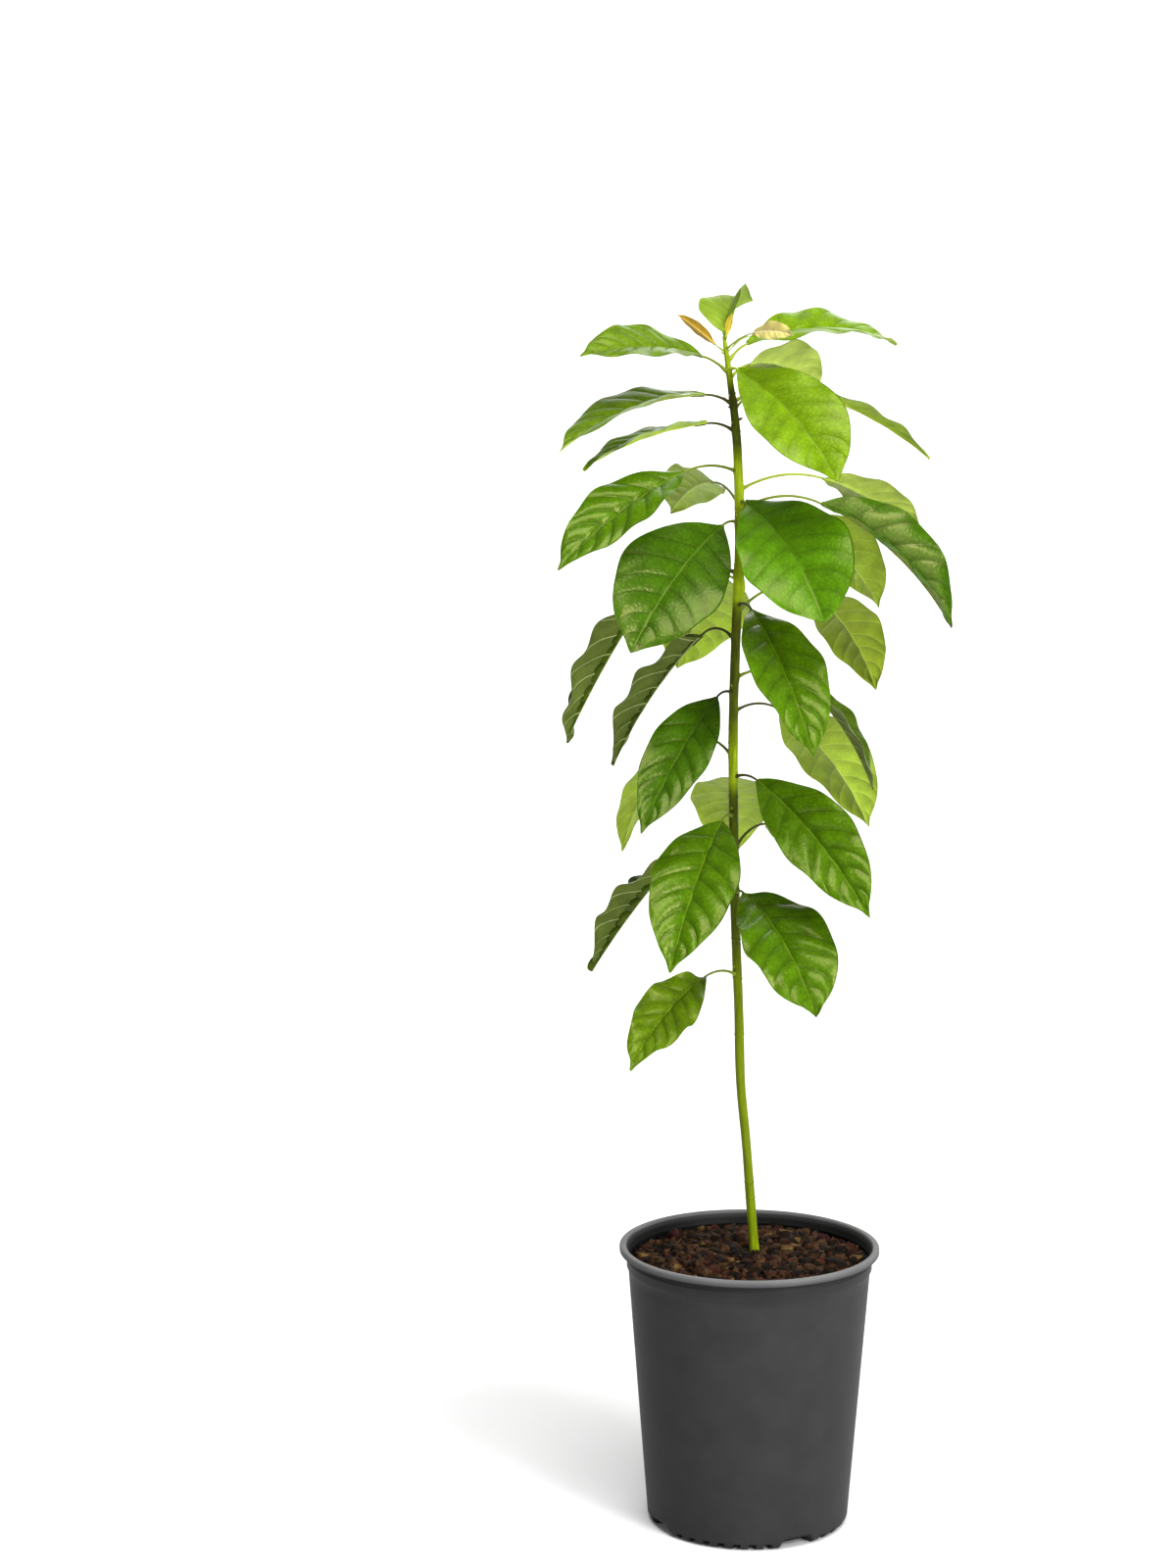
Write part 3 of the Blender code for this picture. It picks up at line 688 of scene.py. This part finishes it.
def tube(line, radius, sides=12):
    """Rings round a line: at each point, radius times the cosine and sine of an angle on two
    directions at right angles to the line."""
    along = np.gradient(line, axis=0)
    along /= np.linalg.norm(along, axis=1, keepdims=True)
    guide = np.array([0.0, 0.0, 1.0]) if abs(along[:, 2]).mean() < 0.9 else np.array([1.0, 0, 0])
    across = np.cross(along, guide)
    across /= np.linalg.norm(across, axis=1, keepdims=True)
    over = np.cross(across, along)
    angle = linspace(0, 2 * pi, sides, endpoint=False)[None, :, None]
    radius = np.broadcast_to(radius, len(line))[:, None, None]
    return line[:, None] + radius * (across[:, None] * cos(angle) + over[:, None] * sin(angle))


STALKS = ("pale", "green", "dark")
STALK_COLORS = ((0.22, 0.29, 0.02), (0.11, 0.15, 0.008), (0.035, 0.036, 0.006))
stalk_finishes = [
    leaf_finish(f"petiole_{kind}", color, 0.45, net=0) for kind, color in zip(STALKS, STALK_COLORS)
]
petioles = []
SUNK = 2.4 * MM
STALK_AT_FOOT, STALK_THINS, FOOT_SWELL, SWELL_LENGTH = 1.35 * MM, 0.5 * MM, 0.8 * MM, 4.5 * MM
for leaf in LEAVES + YOUNG_LEAVES:
    small = min(1, leaf.length / 0.11) ** 0.6
    stalk, rib = petiole_line(leaf), midrib_line(leaf)
    foot = stalk[0] - direction(leaf.heading, leaf.rise / 2) * SUNK
    under = -np.cross(direction(leaf.heading, leaf.pitch), direction(leaf.heading + 90, 0))
    tail = rib[1:7] + under * (0.8 * MM * small)
    line = concatenate([[foot], stalk, tail])
    gone = np.linalg.norm(line - foot, axis=1)
    share = linspace(0, 1, len(line))
    thick = STALK_AT_FOOT + FOOT_SWELL * exp(-((gone / SWELL_LENGTH) ** 2)) - STALK_THINS * share
    rings = tube(line, thick * small)
    petioles.append((rings, tube_quads(*rings.shape[:2]), STALKS.index(leaf.stalk)))
make_joined("petioles", petioles, stalk_finishes, slot="mature_leaf")

# %% [markdown]
# ## The stem
# The stem of a young tree is still green. It has grown in flushes: each flush starts pale green
# and turns olive and brown as bark forms, so stretches of both follow each other. Every leaf
# stands on a small cushion, fallen leaves and buds leave scars, and fine ridges run along it.
# A tube on a grid of angle and height takes all of this as changes of its radius.

# %% Stem relief
STEM_SIDES = 64
RING_MARKS = (
    0.29, 0.3042, 0.4373, 0.4876, 0.5226, 0.59, 0.648, 0.695, 0.815, 0.8984, 0.964, 1.012,
)
RING_RISE, RING_GROOVE, RING_TALL = 0.42 * MM, 0.25 * MM, 0.9 * MM
CUSHION_RISE, CUSHION_TALL, CUSHION_WIDE = 1.0 * MM, 4.0 * MM, 48
PALE_BULGE = (0.831, -10, 2.2 * MM, 9 * MM)


def angle_from(angles, heading):
    """Difference to a heading in degrees, wrapped to -180..180."""
    return (np.degrees(angles) - heading + 180) % 360 - 180


def stem_surface():
    """On a grid of height and angle, radius = stem_radius + cushions + ring marks + ridges."""
    foot, top = STEM_LINE[0, 0], STEM_LINE[-1, 0]
    z = arange(foot, top, 0.9 * MM)[:, None]
    a = linspace(0, 2 * pi, STEM_SIDES, endpoint=False)[None, :]
    slim = stem_radius(z) / STEM_RADIUS
    rise = 0.1 * MM * cos(5 * a + 9 * z) + 0.05 * MM * sin(17 * a + 60 * z)
    rise = rise + 0.12 * MM * sin(70 * z + 2 * a) * sin(23 * z + 1)
    for leaf in LEAVES:
        near = exp(-(((z - leaf.height + 1 * MM) / CUSHION_TALL) ** 2))
        near = near * exp(-((angle_from(a, leaf.heading) / CUSHION_WIDE) ** 2))
        rise = rise + CUSHION_RISE * slim * near
    for mark in RING_MARKS:
        offset = (z - mark + 0.6 * MM * sin(a + 40 * mark)) / RING_TALL
        ring = RING_RISE * exp(-((offset - 1.4) ** 2)) - RING_GROOVE * exp(-(offset**2))
        rise = rise + slim * ring
    height, heading, proud, tall = PALE_BULGE
    bulge = exp(-(((z - height) / tall) ** 2)) * exp(-((angle_from(a, heading) / 55) ** 2))
    radius = stem_radius(z) + rise + proud * bulge
    return stem_at(z[:, 0])[:, None] + round_axis(radius, a, 0)


# %% Stem finish
STRETCHES = (
    (0.2418, 0.2), (0.3, 0.44), (0.42, 0.46), (0.47, 0.44), (0.5, 0.48), (0.523, 0.78),
    (0.575, 0.8), (0.59, 0.45), (0.6, 0.75), (0.65, 0.85), (0.662, 0.22), (0.69, 0.25),
    (0.706, 0.55), (0.72, 0.8), (0.8, 0.83), (0.812, 0.72), (0.82, 0.14), (0.832, 0.12),
    (0.845, 0.45), (0.89, 0.4), (0.9, 0.15), (0.915, 0.06), (0.935, 0.08), (0.945, 0.35),
    (0.955, 0.85), (1, 0.95), (1.01, 0.3), (1.046, 0.15),
)
BARK_COLORS = ((0.3, 0.4, 0.012), (0.15, 0.205, 0.002), (0.026, 0.028, 0.005))
STREAK_SCALE, STREAKS = (420, 420, 60), 0.6


def bark_finish():
    """Fresh green (0) over green (0.3) to brown (1) by height, blurred by long streaks."""
    made, tree, shader = plain_finish("green_bark", BARK_COLORS[1], 0.45)
    place = add_node(tree, "TexCoord", "Object", {})
    bottom, top = STRETCHES[0][0], STRETCHES[-1][0]
    stops = [((z - bottom) / (top - bottom), tone) for z, tone in STRETCHES]
    share = ramp(tree, height_share(tree, place, bottom, top), stops)
    drawn = add_node(tree, "Mapping", "Vector", {"Vector": place, "Scale": STREAK_SCALE})
    streaks = noise(tree, drawn, 1, 4)
    less = add_node(tree, "Math", "Value", {0: share, 1: STREAKS / 2}, operation="SUBTRACT")
    shift = {0: streaks, 1: STREAKS, 2: less}
    brown = add_node(tree, "Math", "Value", shift, operation="MULTIPLY_ADD")
    fill(tree, shader, {
        "Base Color": ramp(tree, brown, list(zip((0, 0.3, 1), BARK_COLORS))),
        "Normal": relief(tree, streaks, 0.35, 0.25 * MM),
        "Specular IOR Level": 0.12,
        "Specular Tint": WAX_TINT,
    })
    return made


stem_grid = stem_surface()
stem_quads = tube_quads(*stem_grid.shape[:2])
words = {"slot": "green_bark", "replaces": ["stem"]}
make_piece("stem_bark", stem_grid, stem_quads, [bark_finish()], **words)

# %% [markdown]
# ## Buds and stubs
# In the angle above every petiole sits a small pointed bud, and here and there a stub or a tiny
# side shoot stands where something broke off or just started. A bud is a short tube whose radius
# swells and closes to a point, and one function makes them all.

# %% A bud


def bud(place, heading, pitch, length, thick, finish):
    """A tube from a place along a direction; its radius follows a swollen curve to a point."""
    share = linspace(0, 1, 9)
    line = place + direction(heading, pitch) * (share[:, None] * length)
    shape = np.sqrt(np.clip(1 - share**2.2, 0.0004, 1)) * (0.75 + 0.6 * share - 0.35 * share**2)
    rings = tube(line, thick * shape, 8)
    return rings, tube_quads(*rings.shape[:2]), finish


bud_finishes = [
    leaf_finish("bud_green", (0.22, 0.34, 0.02), 0.45, net=0),
    leaf_finish("bud_brown", (0.06, 0.05, 0.02), 0.6, net=0),
    leaf_finish("bud_rose", (0.38, 0.24, 0.12), 0.45, net=0),
]
buds = []
for i, leaf in enumerate(LEAVES):
    over = leaf.height + 4.2 * MM
    side = stem_at(over) + direction(leaf.heading, 0) * (stem_radius(over) * 0.7)
    slim = stem_radius(leaf.height) / STEM_RADIUS
    buds.append(bud(side, leaf.heading, 62, 3.4 * MM * slim, 1.15 * MM * slim, i % 3 == 1))
SMALL_THINGS = (
    (0.974, -15, 20, 7.5, 1.5, 1),
    (0.985, 178, 10, 5.5, 1.2, 1),
    (0.987, 176, 42, 12.0, 0.8, 2),
    (1.03, 175, 25, 6.0, 1.0, 0),
    (0.4373, 0, 15, 4.8, 1.3, 0),
    (0.3042, -60, 10, 4.4, 1.0, 1),
    (0.523, 170, 20, 4.9, 1.1, 1),
    (0.4876, -150, 15, 4.6, 1.0, 0),
)
for height, heading, pitch, length, thick, finish in SMALL_THINGS:
    buds.append(bud(stem_at(height), heading, pitch, length * MM, thick * MM, finish))
tip = stem_at(STEM_LINE[-1, 0] - 1 * MM)
for heading, pitch, length in ((0, 88, 7.5), (20, 72, 6.5), (140, 70, 6.0), (255, 70, 6.5)):
    buds.append(bud(tip, heading, pitch, length * MM, 1.1 * MM, 0))
make_joined("buds", buds, bud_finishes, slot="green_bark")

# %% [markdown]
# ## The nursery pot
# The pot is a thin shell of dark plastic: a rolled lip, a collar where pots stack, a side that
# tapers to a rounded foot, four arches in it where water drains, and small slots between them. It
# is a profile turned round the axis, as its mould is. The grid has extra columns at every slot
# and arch. There the foot is pushed in, inside and out together, so that the wall keeps its
# thickness. The inside of the pot is painted shade: the same plastic, darkened.

# %% The pot's sizes
POT_HEIGHT = 0.2495
LIP_RADIUS, LIP_HEIGHT = 0.115, 5.5 * MM
MOUTH_RADIUS = 0.109
COLLAR_RADIUS, COLLAR_HEIGHT = 0.1085, 22 * MM
SHOULDER_RADIUS, FOOT_RADIUS = 0.107, 0.0895
CORNER_RADIUS = 7 * MM
KNEE_HEIGHT = 14 * MM
WALL, BASE_WALL = 1.6 * MM, 2 * MM
BORE_RADIUS = COLLAR_RADIUS - WALL
ARCH_HEADINGS = -60 + 90 * arange(4)
ARCH_WIDTH, ARCH_HEIGHT, ARCH_DEPTH = 34 * MM, 8.5 * MM, 12 * MM
SLOT_HEADINGS = (ARCH_HEADINGS[:, None] + 45 + 9 * arange(-3, 4)).ravel()
SLOT_WIDTH, SLOT_HEIGHT, SLOT_DEPTH = 6.5 * MM, 5.5 * MM, 9 * MM

# %% The pot's profile


def along_line(points, low_step=2.4 * MM, high_step=7 * MM):
    """The same line with points added: close together below the knee, where the arches are cut."""
    points = np.asarray(points, float)
    parts = []
    for a, b in zip(points[:-1], points[1:]):
        longest = low_step if min(a[1], b[1]) < KNEE_HEIGHT else high_step
        n = max(1, int(np.ceil(np.linalg.norm(b - a) / longest)))
        parts.append(a + (b - a) * (arange(n) / n)[:, None])
    return concatenate(parts + [points[-1:]])


def arc(middle, radius, start, end, steps):
    """Points (radius, height) on an arc, angles in degrees."""
    a = radians(linspace(start, end, steps + 1))
    return [(middle[0] + radius * cos(t), middle[1] + radius * sin(t)) for t in a]


def pot_profile():
    """(radius, height) from the base up the inner wall, over the lip, down outside and under."""
    low_step, top_step = POT_HEIGHT - COLLAR_HEIGHT, POT_HEIGHT - COLLAR_HEIGHT + 2.5 * MM
    under_lip, ledge = POT_HEIGHT - LIP_HEIGHT, POT_HEIGHT - 11 * MM
    corner = (FOOT_RADIUS - CORNER_RADIUS, CORNER_RADIUS)
    taper = (SHOULDER_RADIUS - FOOT_RADIUS) / (low_step - CORNER_RADIUS)
    knee = FOOT_RADIUS + taper * (KNEE_HEIGHT - CORNER_RADIUS)
    inside = [
        (0.02 * MM, BASE_WALL), (corner[0] - 12 * MM, BASE_WALL), (corner[0], BASE_WALL),
        *arc(corner, CORNER_RADIUS - WALL, -80, 0, 5), (knee - WALL, KNEE_HEIGHT),
        (SHOULDER_RADIUS - WALL, low_step), (BORE_RADIUS, top_step),
        (BORE_RADIUS, ledge - 0.9 * MM), (BORE_RADIUS - 0.7 * MM, ledge - 0.3 * MM),
        (BORE_RADIUS - 0.7 * MM, ledge + 0.3 * MM), (BORE_RADIUS, ledge + 0.9 * MM),
        (BORE_RADIUS, under_lip),
    ]
    lip = [
        (MOUTH_RADIUS - 0.2 * MM, POT_HEIGHT - 2.2 * MM),
        *arc((MOUTH_RADIUS + 1.6 * MM, POT_HEIGHT - 1.6 * MM), 1.6 * MM, 170, 90, 4),
        *arc((LIP_RADIUS - 2 * MM, POT_HEIGHT - 2 * MM), 2 * MM, 90, 0, 5),
        *arc((LIP_RADIUS - 0.8 * MM, under_lip + 0.8 * MM), 0.8 * MM, 0, -90, 4),
        (COLLAR_RADIUS + 0.5 * MM, under_lip), (COLLAR_RADIUS, under_lip - 0.5 * MM),
    ]
    ridge = POT_HEIGHT - 12 * MM
    outside = [
        (COLLAR_RADIUS, ridge + 0.9 * MM), (COLLAR_RADIUS + 0.35 * MM, ridge + 0.4 * MM),
        (COLLAR_RADIUS + 0.35 * MM, ridge - 0.4 * MM), (COLLAR_RADIUS, ridge - 0.9 * MM),
        (COLLAR_RADIUS, top_step + 0.4 * MM), (COLLAR_RADIUS - 0.3 * MM, top_step),
        (SHOULDER_RADIUS + 0.3 * MM, low_step + 0.3 * MM), (SHOULDER_RADIUS, low_step),
        (knee, KNEE_HEIGHT), *arc(corner, CORNER_RADIUS, 0, -90, 8),
        (corner[0] - 14 * MM, 0), (0.02 * MM, 0),
    ]
    return along_line(inside + lip + outside)


# %% The pot's surface


def smooth_step(x):
    """0 below 0, 1 above 1, and a smooth curve between."""
    x = np.clip(x, 0, 1)
    return x * x * (3 - 2 * x)


def pot_angles():
    """Angles all round, with more of them across every slot and at both ends of every arch."""
    even = arange(0, 360, 1.5)
    slot_half = np.degrees(SLOT_WIDTH / 2 / FOOT_RADIUS)
    arch_half = np.degrees(ARCH_WIDTH / 2 / FOOT_RADIUS)
    near = np.array([-0.25, 0, 0.25])
    slots = [h + s * slot_half + near for h in SLOT_HEADINGS for s in (-1, 1)]
    arches = [h + s * arch_half + linspace(-2, 0.5, 6) for h in ARCH_HEADINGS for s in (-1, 1)]
    angles = np.sort(concatenate([even, *slots, *arches]) % 360)
    keep = concatenate([[True], np.diff(angles) > 0.08])
    angles = angles[keep]
    return radians(angles[: len(angles) // 2 * 2])


def along_foot(angles, heading):
    """Distances along the foot's edge from a heading."""
    return np.abs(angle_from(angles, heading)) * radians(1) * FOOT_RADIUS


def pot_surface():
    """The profile turned round, with the foot's radius cut back by each arch and slot."""
    profile = pot_profile()
    r, z = profile[:, 0:1], profile[:, 1:2]
    a = pot_angles()[None, :]
    inner = (arange(len(profile)) < np.argmax(z))[:, None]
    wall = WALL * inner
    push = 0 * (r + a)
    for heading in ARCH_HEADINGS:
        off = along_foot(a, heading)
        bow = ARCH_HEIGHT * np.sqrt(np.clip(1 - (off / (ARCH_WIDTH / 2 + wall)) ** 4, 0, 1))
        push = np.maximum(push, ARCH_DEPTH * smooth_step((bow + wall - z) / (0.8 * MM)))
    for heading in SLOT_HEADINGS:
        off = along_foot(a, heading)
        inside = smooth_step((SLOT_WIDTH / 2 + wall - off) / (0.4 * MM) + 0.5)
        below = smooth_step((SLOT_HEIGHT + wall - z) / (0.9 * MM))
        push = np.maximum(push, SLOT_DEPTH * inside * below)
    floor_edge = FOOT_RADIUS - ARCH_DEPTH - 8 * MM
    share = smooth_step((r - floor_edge) / (FOOT_RADIUS - CORNER_RADIUS - floor_edge))
    radius = r - push * share
    wobble = 0.15 * MM * sin(3 * a + 1) + 0.08 * MM * sin(7 * a)
    radius = radius + wobble * smooth_step((z - 0.2) / 0.05)
    return round_axis(radius, a, z)


# %% Pot plastic
# Grey by share of height: a little darker towards the bottom, a painted shadow in the dip just
# under the lip, and paler on the lip, partly rubbed wear and partly a painted highlight on its
# rounded edge.
POT_TONES = ((0, 0.029), (0.1, 0.033), (0.9, 0.036), (0.974, 0.026), (0.981, 0.072), (1, 0.155))


def pot_finish(name, shade=1.0):
    """Dark moulded plastic: satin, a little cloudy, with a painted shadow just under the lip and
    paler on the lip, partly rubbed wear and partly a painted highlight; shade darkens it.
    """
    made, tree, shader = plain_finish(name, (0.05, 0.05, 0.05), 0.5)
    place = add_node(tree, "TexCoord", "Object", {})
    tones = [(z, grey * shade) for z, grey in POT_TONES]
    tone = ramp(tree, height_share(tree, place, 0, POT_HEIGHT), tones)
    cloud = noise(tree, place, 38, 6)
    fill(tree, shader, {
        "Base Color": darkened(tree, tone, cloud, 0.4),
        "Roughness": spread(tree, cloud, 0.45, 0.6),
        "Normal": relief(tree, noise(tree, place, 900), 0.15, 0.2 * MM),
        "Specular IOR Level": 0.06,
    })
    return made


pot_grid = pot_surface()
pot_quads = tube_quads(*pot_grid.shape[:2])[:, ::-1]
# The inside faces get a copy of the plastic at 0.4 of its tone: painted shade inside the pot.
pot_finishes = [pot_finish("pot_plastic"), pot_finish("shaded_pot_inside", 0.4)]
inside_rows = np.argmax(pot_profile()[:, 1] > POT_HEIGHT - LIP_HEIGHT)
inside = arange(len(pot_quads)) < inside_rows * pot_grid.shape[1]
words = {"slot": "pot_plastic", "replaces": ["pot"]}
make_piece("nursery_pot", pot_grid, pot_quads, pot_finishes, inside, **words)

# %% [markdown]
# ## The soil
# Potting mix is crumbs of peat with chips of bark and threads of coir on top, heaped a little
# round the stem and sunk at the wall. The bed is a turned surface with a layered noise of sines.
# Thousands of six-sided chips are strewn on it at random turns and sizes, in a few browns.

# %% The bed
SOIL_EDGE = POT_HEIGHT - 16 * MM
SOIL_TOP = 0.2415
BED_RADIUS = BORE_RADIUS - 0.2 * MM


def soil_height(x, y):
    """A low heap round the stem with clods: the dome, and sines of several lengths added up."""
    r = np.hypot(x, y) / BED_RADIUS
    dome = SOIL_EDGE + (SOIL_TOP - SOIL_EDGE) * (1 - smooth_step((r - 0.35) / 0.65))
    clods = sin(95 * x + 2) * sin(88 * y + 1) + 0.6 * sin(210 * x - 150 * y)
    fine = sin(420 * x + 130 * y) * sin(-170 * x + 460 * y)
    fade = smooth_step((r - 0.06) / 0.1)
    return dome + (0.8 * MM * clods + 0.45 * MM * fine) * fade - 0.6 * MM


def soil_bed(rings=64, sides=160):
    """Top rings by soil_height, then a skirt down the wall and a flat bottom."""
    r = concatenate([[0.02 * MM], BED_RADIUS * linspace(0, 1, rings)[1:]])[:, None]
    a = linspace(0, 2 * pi, sides, endpoint=False)[None, :]
    x, y = r * cos(a), r * sin(a)
    top = stack([x, y, soil_height(x, y)], -1)
    low_step = POT_HEIGHT - COLLAR_HEIGHT
    core, bottom = FOOT_RADIUS - ARCH_DEPTH - 3 * MM, BASE_WALL + 0.3 * MM
    skirt = np.array([
        (BED_RADIUS, low_step + 2.6 * MM), (BED_RADIUS - 1.6 * MM, low_step - 1 * MM),
        (FOOT_RADIUS - 1 * MM, 15 * MM), (core, 12 * MM), (core, bottom), (0.02 * MM, bottom),
    ])[:, :, None]
    return concatenate([top, round_axis(skirt[:, 0], a, skirt[:, 1])])


def earth_finish(name, dark, light):
    """Crumbly matter: two browns by noise, rough, with a strong fine relief."""
    made, tree, shader = plain_finish(name, light, 0.9)
    cloud = noise(tree, add_node(tree, "TexCoord", "Object", {}), 160, 6)
    fill(tree, shader, {
        "Base Color": ramp(tree, cloud, ((0.35, dark), (0.65, light))),
        "Normal": relief(tree, cloud, 0.8, 0.6 * MM),
        "Specular IOR Level": 0.1,
    })
    return made


bed = soil_bed()
bed_quads = tube_quads(*bed.shape[:2])[:, ::-1]
# The peat is almost black: partly damp peat, partly painted shade for the gaps between the chips.
peat = earth_finish("peat", (0.003, 0.0015, 0.001), (0.01, 0.006, 0.003))
words = {"slot": "potting_mix", "replaces": ["potting_soil"]}
make_piece("soil_bed", bed, bed_quads, [peat], **words)

# %% Chips and fibres
CHIPS, FIBRES = 2200, 400
CHIP_FINISHES = [
    earth_finish("bark_dark", (0.002, 0.001, 0.0005), (0.012, 0.006, 0.002)),
    earth_finish("bark_brown", (0.012, 0.006, 0.002), (0.061, 0.028, 0.011)),
    earth_finish("bark_red", (0.01, 0.0035, 0.002), (0.05, 0.015, 0.007)),
    earth_finish("coir_pale", (0.05, 0.026, 0.008), (0.15, 0.085, 0.026)),
    earth_finish("bark_wine", (0.01, 0.002, 0.002), (0.04, 0.007, 0.006)),
]
LARGE_CHIPS = ((-0.067, 0.055), (0.066, 0.055))


def random_turns(rng, count):
    """Rotation matrices: any heading, and a tilt round it that is mostly under a radian."""
    h = rng.uniform(0, 2 * pi, (3, count))[0]
    lean = rng.normal(0, 0.84, count)
    x = round_axis(1, h, 0)
    y = stack([-sin(h) * cos(lean), cos(h) * cos(lean), sin(lean)], -1)
    return stack([x, y, np.cross(x, y)], 1)


def strewn(rng, count, inner=0.045):
    """Places on the bed, even by area, clear of the stem."""
    r = BED_RADIUS * np.sqrt(rng.uniform(inner**2, 0.975**2, count))
    a = rng.uniform(0, 2 * pi, count)
    x, y = r * cos(a), r * sin(a)
    return stack([x, y, soil_height(x, y)], -1)


def chips(rng, count):
    """Six-sided lumps: corners of a box, shifted at random, then sized, turned and placed."""
    corner = np.array([(x, y, z) for z in (-1, 1) for y in (-1, 1) for x in (-1, 1)], float)
    shape = corner[None] * rng.uniform(0.5, 1.15, (count, 8, 3))
    size = exp(rng.normal(np.log(2.7), 0.45, count)) * MM
    sizes = [size * rng.uniform(1, 2, count), size, size * rng.uniform(0.5, 0.95, count)]
    sizes = np.minimum(stack(sizes, -1), 5.5 * MM)
    places = strewn(rng, count)
    for i, (x, y) in enumerate(LARGE_CHIPS):
        sizes[i] = (7 * MM, 5.5 * MM, 5 * MM)
        places[i] = (x, y, soil_height(x, y) + 3.5 * MM)
    turned = np.einsum("nki,nij->nkj", shape * sizes[:, None], random_turns(rng, count))
    places[:, 2] += rng.uniform(-1.0, 2.0, count) * MM
    points = turned + places[:, None]
    reach = np.linalg.norm(points[..., :2], axis=-1, keepdims=True)
    points[..., :2] *= np.minimum(1, (BED_RADIUS - 0.3 * MM) / reach)
    box = ((0, 2, 3, 1), (4, 5, 7, 6), (0, 1, 5, 4), (2, 6, 7, 3), (0, 4, 6, 2), (1, 3, 7, 5))
    quads = (arange(count)[:, None, None] * 8 + np.array(box)).reshape(-1, 4)
    return points, quads


def fibres(rng, count):
    """Threads: a bent line of four points, each carrying a tiny square ring."""
    places = strewn(rng, count)
    heading = rng.uniform(0, 2 * pi, count)
    length = rng.uniform(4, 13, count) * MM
    steps = linspace(-0.5, 0.5, 4)[None, :]
    bend = rng.normal(0, 0.9, count)[:, None]
    turn = heading[:, None] + bend * steps
    x = places[:, 0:1] + length[:, None] * steps * cos(turn)
    y = places[:, 1:2] + length[:, None] * steps * sin(turn)
    short = np.minimum(1, 0.975 * BED_RADIUS / np.hypot(x, y))
    x, y = x * short, y * short
    z = soil_height(x, y) + (0.5 + rng.uniform(0, 1.2, count)[:, None] * (1 - 3 * steps**2)) * MM
    line = stack([x, y, z], -1)
    across = stack([-sin(turn), cos(turn), 0 * turn], -1)
    lift = np.array([0, 0, 1.0])
    thick = rng.uniform(0.12, 0.28, count)[:, None, None] * MM
    ring = stack([line + side * thick for side in (across, lift, -across, -lift)], 2)
    quads = tube_quads(4, 4)
    return ring.reshape(-1, 3), (arange(count)[:, None, None] * 16 + quads).reshape(-1, 4)


rng = np.random.default_rng(7)
chip_points, chip_quads = chips(rng, CHIPS)
chip_kind = rng.choice(4, CHIPS, p=(0.41, 0.38, 0.18, 0.03))
chip_kind[: len(LARGE_CHIPS)] = 4
chip_kind = np.repeat(chip_kind, 6)
words = {"slot": "potting_mix"}
make_piece("bark_chips", chip_points, chip_quads, CHIP_FINISHES, chip_kind, **words)
thread_points, thread_quads = fibres(rng, FIBRES)
thread_kind = rng.choice(4, FIBRES, p=(0.3, 0.4, 0.2, 0.1))
thread_kind = np.repeat(thread_kind, len(thread_quads) // FIBRES)
make_piece("coir_fibres", thread_points, thread_quads, CHIP_FINISHES, thread_kind, **words)
